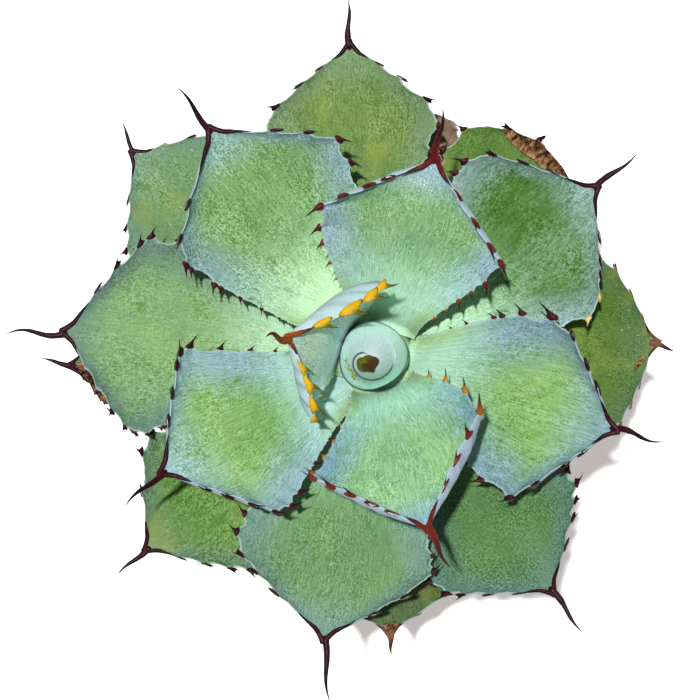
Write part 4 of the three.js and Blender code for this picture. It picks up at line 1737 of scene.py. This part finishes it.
@dataclass
class Studio:
    """The plain pale floor, the light and the camera over the plant.

    The camera's height, the level that its framing holds at and the width of one picture element there
    are in millimetres. The crown's place in the picture is in picture elements.
    """

    height: float = 1290.0
    field_at: float = 190.0
    pixel: float = 0.43
    frame_pixels: float = 700.0
    crown: tuple[float, float] = (374.0, 355.0)
    sensor: float = 36.0
    sky: float = 0.20

    def light(self, name: str, place: Triple, size: float, power: float) -> None:
        """Hang one square light that faces the plant.

        Args:
            name: The light's name.
            place: Where it hangs, in metres.
            size: Its side, in metres.
            power: Its power, in watts.
        """
        lamp = bpy.data.lights.new(name, "AREA")
        lamp.size, lamp.energy = size, power
        holder = bpy.data.objects.new(name, lamp)
        holder.location = place
        plant = type(holder.location)((0.0, 0.0, 0.2))
        holder.rotation_euler = (plant - holder.location).to_track_quat("-Z", "Y").to_euler()
        bpy.context.scene.collection.objects.link(holder)

    def floor(self) -> None:
        """Lay the floor."""
        Bench.clear()
        bpy.ops.mesh.primitive_plane_add(size=12.0, location=(0, 0, 0))
        floor = Bench.named("studio_floor")
        floor.data.materials.append(PaperSkin().material("studio_paper"))

    def camera(self) -> None:
        """Hang the camera over the plant, framed as the photograph is."""
        lens = bpy.data.cameras.new("camera")
        lens.sensor_width = self.sensor
        lens.lens = self.sensor * (self.height - self.field_at) / (self.frame_pixels * self.pixel)
        lens.shift_x = (self.frame_pixels / 2 - self.crown[0]) / self.frame_pixels
        lens.shift_y = (self.crown[1] - self.frame_pixels / 2) / self.frame_pixels
        camera = bpy.data.objects.new("camera", lens)
        camera.location = (0.0, 0.0, self.height * MM)
        bpy.context.scene.collection.objects.link(camera)
        bpy.context.scene.camera = camera

    def build(self) -> None:
        """Set up the floor, the light, the world and the camera."""
        self.floor()
        self.light("key", (-0.43, 0.53, 6.0), 0.13, 502.0)
        world = bpy.data.worlds.new("studio")
        world.use_nodes = True
        colour, strength = world.node_tree.nodes["Background"].inputs[:2]
        colour.default_value, strength.default_value = (1.0, 1.0, 1.0, 1.0), self.sky
        bpy.context.scene.world = world
        bpy.context.scene.view_settings.view_transform = "Standard"
        self.camera()


GOLD = HornSkin((0.36, 0.075, 0.010), (0.10, 0.018, 0.010), (0.80, 0.46, 0.008), (0.10, 0.115, 0.010), 0.42,
                (0.05, 0.13))
RED = HornSkin((0.17, 0.018, 0.010), (0.06, 0.008, 0.007), (0.62, 0.24, 0.010), (0.07, 0.05, 0.010), 0.36,
               (0.25, 0.62))
WINE = HornSkin((0.13, 0.010, 0.012), (0.035, 0.005, 0.005), (0.45, 0.12, 0.010), (0.05, 0.03, 0.010), 0.36,
                (0.42, 0.82))
DARK = HornSkin()
OLIVE = HornSkin((0.17, 0.18, 0.006), (0.11, 0.025, 0.008), (0.30, 0.38, 0.04), (0.10, 0.16, 0.02), 0.45)
DRY = HornSkin((0.22, 0.10, 0.055), (0.030, 0.014, 0.010), (0.16, 0.08, 0.03), (0.06, 0.03, 0.02), 0.6)

LEAVES = (
    Leaf(1, 168, 34.5, 38, 22, 6, Age.YOUNGEST,
         # Leaf 1's tones are far lighter than its own: painted light that lifts the shade on its steep inner
         # face, turned to the bud.
         LeafSkin((0.8, 1.05, 0.92), (0.62, 0.76, 0.68), (0.85, 1.08, 1.05), (0.53, 0.72, 0.76),
                  wax=0.2), GOLD,
         Margin(0.865, -1.3, 0.68, 1.54, 9.0,
                ((11.5, 6.6), (18.9, 8.2), (28.2, 8.6), (37.3, 8.0), (50.0, 2.8), (60.0, 3.2), (72.0, 2.2)),
                0.90, (3.66, 3.35)),
         Margin(1.126, 7.1, 0.95, 0.75, 10.0,
                ((11.5, 7.4), (23.9, 10.5), (34.0, 9.4), (40.5, 8.6), (56.0, 2.6), (66.0, 2.6),
                 (78.0, 2.0)),
                0.56, (0.82, 1.01)),
         fold=1.14, sway=0.07, thick_spine=1.9, first_tooth=-4.0, hooked=0.72),
    Leaf(2, 287, 70, 41, 27, 10, Age.RED,
         LeafSkin((0.41, 0.78, 0.37), (0.46, 0.74, 0.52), (0.32, 0.58, 0.80), (0.5, 0.6, 0.68),
                  stipple=1.0, combed=1.3), RED,
         Margin(0.967, 7.8, 1.22, 1.32, 12.0,
                ((15.8, 5.6), (26.9, 6.0), (38.7, 5.8), (53.5, 7.8), (78.0, 6.0), (99.5, 5.0),
                 (119.0, 3.8))),
         Margin(1.004, 0.0, 0.80, 0.97, 9.0,
                ((12.3, 5.4), (21.3, 5.4), (30.7, 5.6), (39.7, 6.0), (49.0, 5.2), (55.6, 4.4), (71.4, 3.2),
                 (85.0, 2.8), (100.0, 2.2))),
         thick_spine=1.9),
    Leaf(3, 72.5, 81, 42, 27, 8, Age.RED,
         LeafSkin((0.3, 0.58, 0.24), (0.46, 0.74, 0.5), (0.52, 0.72, 0.94), (0.48, 0.6, 0.66),
                  stipple=1.0, combed=1.3), WINE,
         Margin(0.994, 5.8, 0.94, 0.96, 14.0,
                ((17.4, 5.2), (25.5, 5.6), (36.8, 5.8), (48.8, 7.0), (63.8, 5.4), (73.3, 4.6), (86.3, 3.6),
                 (98.0, 2.2))),
         Margin(1.026, 2.2, 1.06, 1.10, 12.0,
                ((14.0, 5.0), (27.1, 5.6), (38.7, 6.4), (47.2, 7.0), (66.4, 5.0), (76.5, 3.4), (86.3, 4.0),
                 (96.5, 2.8), (107.2, 2.8))),
         thick_spine=1.9),
    Leaf(4, 209, 97, 41, 23, 12, Age.YOUNG,
         LeafSkin((0.27, 0.55, 0.13), (0.50, 0.78, 0.64), (0.42, 0.64, 0.76), (0.42, 0.52, 0.6),
                  stipple=1.0, combed=1.25, foot_length=46, bloom_width=26), DARK,
         Margin(1.05, 1.3, 1.2, 1.25, 13.0,
                ((15.9, 5.2), (25.8, 5.6), (36.5, 6.0), (47.0, 6.2), (57.0, 5.6), (66.6, 5.0), (78.5, 4.2),
                 (84.7, 3.4), (101.1, 2.8))),
         Margin(1.021, 0.5, 0.81, 0.86, 15.0,
                ((18.0, 5.4), (29.4, 5.6), (40.8, 6.2), (47.0, 6.0), (53.6, 5.6), (70.2, 4.8), (86.3, 3.6),
                 (99.6, 3.0)))),
    Leaf(5, 342.7, 102.5, 40, 23, 4, Age.YOUNG,
         LeafSkin((0.24, 0.50, 0.115), (0.35, 0.58, 0.38), (0.27, 0.42, 0.55), (0.45, 0.54, 0.62),
                  stipple=0.9, combed=1.2, foot_length=46, bloom_width=27), DARK,
         Margin(0.959, 8.7, 1.20, 1.31, 14.0,
                ((16.0, 6.0), (26.9, 5.8), (40.0, 6.0), (54.0, 8.2), (69.3, 5.4), (79.6, 4.4), (83.9, 3.8),
                 (98.9, 2.8), (108.1, 2.0))),
         Margin(1.072, 4.4, 1.13, 1.34, 11.0,
                ((13.5, 5.0), (22.9, 6.0), (37.4, 6.8), (49.9, 7.0), (68.5, 6.2), (80.0, 4.0), (92.0, 3.2),
                 (105.0, 2.2))),
         sway=0.05, thick_spine=1.6),
    Leaf(6, 126, 114, 43, 24, 2, Age.YOUNG,
         LeafSkin((0.2, 0.41, 0.11), (0.54, 0.84, 0.45), (0.33, 0.52, 0.56), (0.36, 0.48, 0.54),
                  stipple=1.5, combed=1.0), DARK,
         Margin(1.031, 4.8, 1.24, 1.34, 20.0,
                ((30.2, 5.8), (44.9, 6.6), (58.4, 6.0), (61.5, 5.0), (75.3, 5.0), (78.5, 4.4), (88.9, 4.0),
                 (100.9, 3.2), (111.0, 2.6), (117.3, 1.8))),
         Margin(0.969, 7.0, 1.0, 1.13, 18.0,
                ((24.9, 5.6), (38.1, 6.2), (51.9, 6.5), (64.6, 6.0), (79.0, 4.6), (93.0, 3.2),
                 (107.0, 2.4)))),
    Leaf(7, 260, 119, 41, 28, 16, Age.MATURE,
         LeafSkin((0.155, 0.322, 0.108), (0.28, 0.48, 0.25), (0.21, 0.37, 0.31), (0.34, 0.45, 0.48),
                  stipple=1.1, combed=1.0, wax=0.12), DARK,
         Margin(1.03, 3.9, 1.18, 1.35, 15.0,
                ((21.3, 5.8), (36.1, 6.4), (53.1, 5.0), (60.4, 3.2), (69.4, 3.0), (80.0, 2.6),
                 (94.0, 2.4))),
         Margin(1.061, 8.6, 0.83, 0.83, 15.0,
                ((25.6, 5.8), (37.6, 5.8), (46.8, 6.2), (58.0, 5.6), (67.0, 4.8), (80.0, 3.8),
                 (94.0, 2.8)))),
    Leaf(8, 37, 116, 46, 24, 3, Age.MATURE,
         LeafSkin((0.068, 0.188, 0.006), (0.4, 0.68, 0.38), (0.36, 0.53, 0.51), (0.34, 0.45, 0.46),
                  stipple=1.25, combed=0.8, wax=0.08), DARK,
         Margin(0.959, 6.9, 1.24, 1.30, 14.0,
                ((17.1, 5.4), (30.8, 6.0), (44.3, 6.4), (58.4, 6.0), (65.1, 5.0), (78.0, 4.0),
                 (92.0, 3.0))),
         Margin(0.962, 5.6, 1.25, 1.35, 14.0,
                ((18.9, 5.4), (28.9, 5.6), (34.9, 5.4), (44.6, 4.8), (56.5, 5.0), (70.0, 4.6),
                 (84.0, 3.4))),
         dry_teeth=((Side.RIGHT, 44.6), (Side.RIGHT, 56.5))),
    Leaf(9, 175.7, 130, 41, 26, 7, Age.MATURE,
         LeafSkin((0.24, 0.44, 0.165), (0.42, 0.67, 0.39), (0.145, 0.25, 0.20), (0.34, 0.45, 0.46),
                  stipple=1.0, combed=0.6, wax=0.12), DARK,
         Margin(1.025, -0.8, 0.83, 0.80, 13.0,
                ((15.6, 4.2), (25.8, 4.4), (36.8, 4.6), (45.4, 4.0), (56.8, 3.4), (64.3, 3.0), (75.0, 2.6),
                 (87.0, 2.2))),
         Margin(1.035, 8.8, 0.82, 0.84, 16.0,
                ((20.4, 5.4), (33.1, 5.8), (46.6, 6.0), (52.2, 5.6), (65.2, 5.0))),
         sway=0.06),
    Leaf(10, 307, 125, 37, 23, 0, Age.MATURE,
         LeafSkin((0.076, 0.195, 0.04), (0.2, 0.38, 0.16), (0.13, 0.26, 0.19), (0.3, 0.42, 0.4),
                  stipple=1.8, combed=0.5, wax=0.08), DARK,
         Margin(1.0, 4.3, 1.02, 1.28, 13.0,
                ((18.5, 5.4), (30.5, 5.6), (38.1, 5.6), (45.6, 5.8), (52.9, 5.6))),
         Margin(1.076, 0.0, 0.92, 0.84, 12.0,
                ((11.8, 4.8), (24.9, 5.4), (36.2, 5.8), (42.7, 5.6), (51.9, 5.6)))),
    Leaf(11, 94.5, 132, 38, 21, -2, Age.MATURE,
         LeafSkin((0.15, 0.27, 0.055), (0.2, 0.36, 0.12), (0.23, 0.36, 0.17), (0.3, 0.42, 0.38),
                  combed=0.6, wax=0.08, scars=0.25), DARK,
         Margin(1.076, 0.0, 0.85, 0.83, 9.0, ((14.0, 4.4), (25.7, 5.4), (39.0, 6.0), (75.0, 2.0))),
         Margin(0.961, 0.0, 1.07, 1.06, 9.0, ((13.0, 4.2), (24.5, 5.4), (38.6, 6.0), (52.0, 5.0)))),
    Leaf(12, 220.5, 127.5, 36, 18, 1, Age.MATURE,
         LeafSkin((0.122, 0.272, 0.038), (0.18, 0.34, 0.09), (0.17, 0.29, 0.17), (0.3, 0.42, 0.36),
                  stipple=1.6, combed=0.5, wax=0.07, scars=0.2), DARK,
         Margin(1.045, 0.9, 0.92, 1.06, 12.0, ((12.8, 4.8), (24.6, 5.4), (35.3, 5.8), (43.5, 5.8))),
         Margin(1.038, 2.4, 0.97, 1.19, 14.0, ((22.8, 5.4), (39.6, 5.8), (49.9, 5.8)))),
    Leaf(13, 2.5, 121, 38, 9, -27, Age.WORN,
         LeafSkin((0.074, 0.174, 0.003), (0.1, 0.22, 0.03), (0.11, 0.2, 0.07), (0.26, 0.36, 0.28),
                  stipple=1.4, combed=0.4, wax=0.05, scars=1.0), DRY,
         Margin(1.118, 2.3, 0.81, 0.82, 8.0, ((9.8, 3.6), (21.4, 4.4), (34.4, 4.8))),
         Margin(1.117, 0.0, 0.81, 0.81, 6.0,
                ((8.5, 3.4), (16.9, 3.8), (26.7, 4.0), (35.9, 3.6), (80.0, 2.0))),
         blunt=2.1, patches=(Patch(1.01, 0.0, 0.020, 0.5, 1.0), Patch(0.938, -0.48, 0.020, 0.075, 0.9))),
    Leaf(14, 140, 135, 37, 14, -33, Age.OLD,
         LeafSkin((0.175, 0.325, 0.12), (0.22, 0.4, 0.16), (0.21, 0.36, 0.24), (0.3, 0.4, 0.34),
                  combed=0.4, wax=0.08, scars=1.2), DARK,
         Margin(1.095, 0.3, 0.91, 0.88, 10.0, ((18.1, 4.8), (30.4, 4.6), (40.2, 4.8))),
         Margin(1.079, 0.0, 0.86, 0.82, 9.0, ((10.8, 3.6), (23.9, 4.8), (80.0, 2.0))),
         thick_spine=1.4),
    Leaf(15, 273.3, 120.5, 37, 11, 1, Age.WORN,
         LeafSkin((0.060, 0.099, 0.006), (0.083, 0.137, 0.03), (0.092, 0.156, 0.055), (0.28, 0.38, 0.32),
                  stipple=1.4, combed=0.4, wax=0.045, scars=0.4), DRY,
         Margin(1.119, 0.2, 0.84, 0.84, 7.0, ((11.6, 4.0), (28.1, 4.8))),
         Margin(1.063, 0.1, 0.89, 0.84, 7.0, ((12.7, 4.4),)),
         patches=(Patch(1.01, 0.0, 0.035, 1.0, 1.0),)),
    Leaf(16, 52.5, 118.5, 36, 4, -20, Age.WORN,
         LeafSkin((0.088, 0.203, 0.012), (0.1, 0.21, 0.02), (0.13, 0.25, 0.04), (0.24, 0.34, 0.22),
                  stipple=1.4, combed=0.4, wax=0.05, scars=0.5), DARK,
         Margin(0.83, 1.5, 0.8, 0.8, 0.0, ((12.0, 6.0), (33.0, 4.2))),
         Margin(1.26, 2.0, 0.5, 0.2, 0.0, ((60.0, 4.0),)),
         flesh=0.8, blunt=3.9, first_tooth=0.0,
         patches=(Patch(1.0, 0.0, 0.072, 1.0, 1.0), Patch(0.88, -1.0, 0.16, 0.45, 1.0))),
    Leaf(17, 182, 132, 35, 14, -15, Age.OLD,
         LeafSkin((0.11, 0.22, 0.045), (0.13, 0.24, 0.06), (0.14, 0.25, 0.12), (0.24, 0.34, 0.24),
                  stipple=1.4, combed=0.4, wax=0.06, scars=0.8), DARK,
         Margin(0.95, arm=7.0, teeth=((24.0, 3.6), (40.0, 3.2), (56.0, 2.6), (72.0, 2.2))),
         Margin(arm=7.0),
         patches=(Patch(0.95, 0.7, 0.07, 0.8, 1.0), Patch(0.75, 0.95, 0.22, 0.22, 1.0))),
    Leaf(18, 100, 120, 39, 7, 0, Age.WITHERED,
         LeafSkin((0.27, 0.145, 0.105), (0.25, 0.15, 0.10), (0.30, 0.18, 0.14), (0.26, 0.17, 0.12),
                  stipple=0.6, wax=0.02), DRY,
         Margin(arm=0.0), Margin(1.42, 7.0, 0.3, 0.2, 0.0, ((100.0, 1.5),)),
         flesh=0.6, patches=(Patch(0.5, 0.0, 2.0, 3.0, 0.27),)),
)


def modelled_hook() -> bpy.types.Object:
    """Model the marginal tooth once: a broad oval foot that narrows to a hook bent back to the stem.

    Returns:
        The tooth, about one unit high.
    """
    rings = ((-0.10, 0.0, 0.32, 0.16), (0.0, 0.0, 0.41, 0.25), (0.12, 0.01, 0.29, 0.19),
             (0.27, 0.05, 0.15, 0.12), (0.46, 0.12, 0.085, 0.07), (0.68, 0.25, 0.05, 0.045),
             (0.92, 0.47, 0.012, 0.012))
    return Bench.horn("tooth_stock", rings, 8)


def modelled_horn() -> bpy.types.Object:
    """Model the straight horn once, which the spines and their arms are bent from."""
    rings = tuple((z, 0.0, (1 - z) ** 0.8, (1 - z) ** 0.8) for z in np.linspace(0, 0.985, 30))
    return Bench.horn("horn_stock", rings, 14)


def main() -> None:
    """Build the plant, its pot and the studio, in that order, and note the sizes."""
    logging.basicConfig(level=logging.INFO, format="%(name)s: %(message)s")
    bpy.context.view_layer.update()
    hook, stock = modelled_hook(), modelled_horn()
    for leaf in LEAVES:
        leaf.build(hook, stock)
    Bud().build(hook, stock)
    for shape in (hook, stock):
        bpy.data.objects.remove(shape)
    Stem().build()
    Pot().build()
    Soil().build()
    Studio().build()


if __name__ == "__main__":
    main()
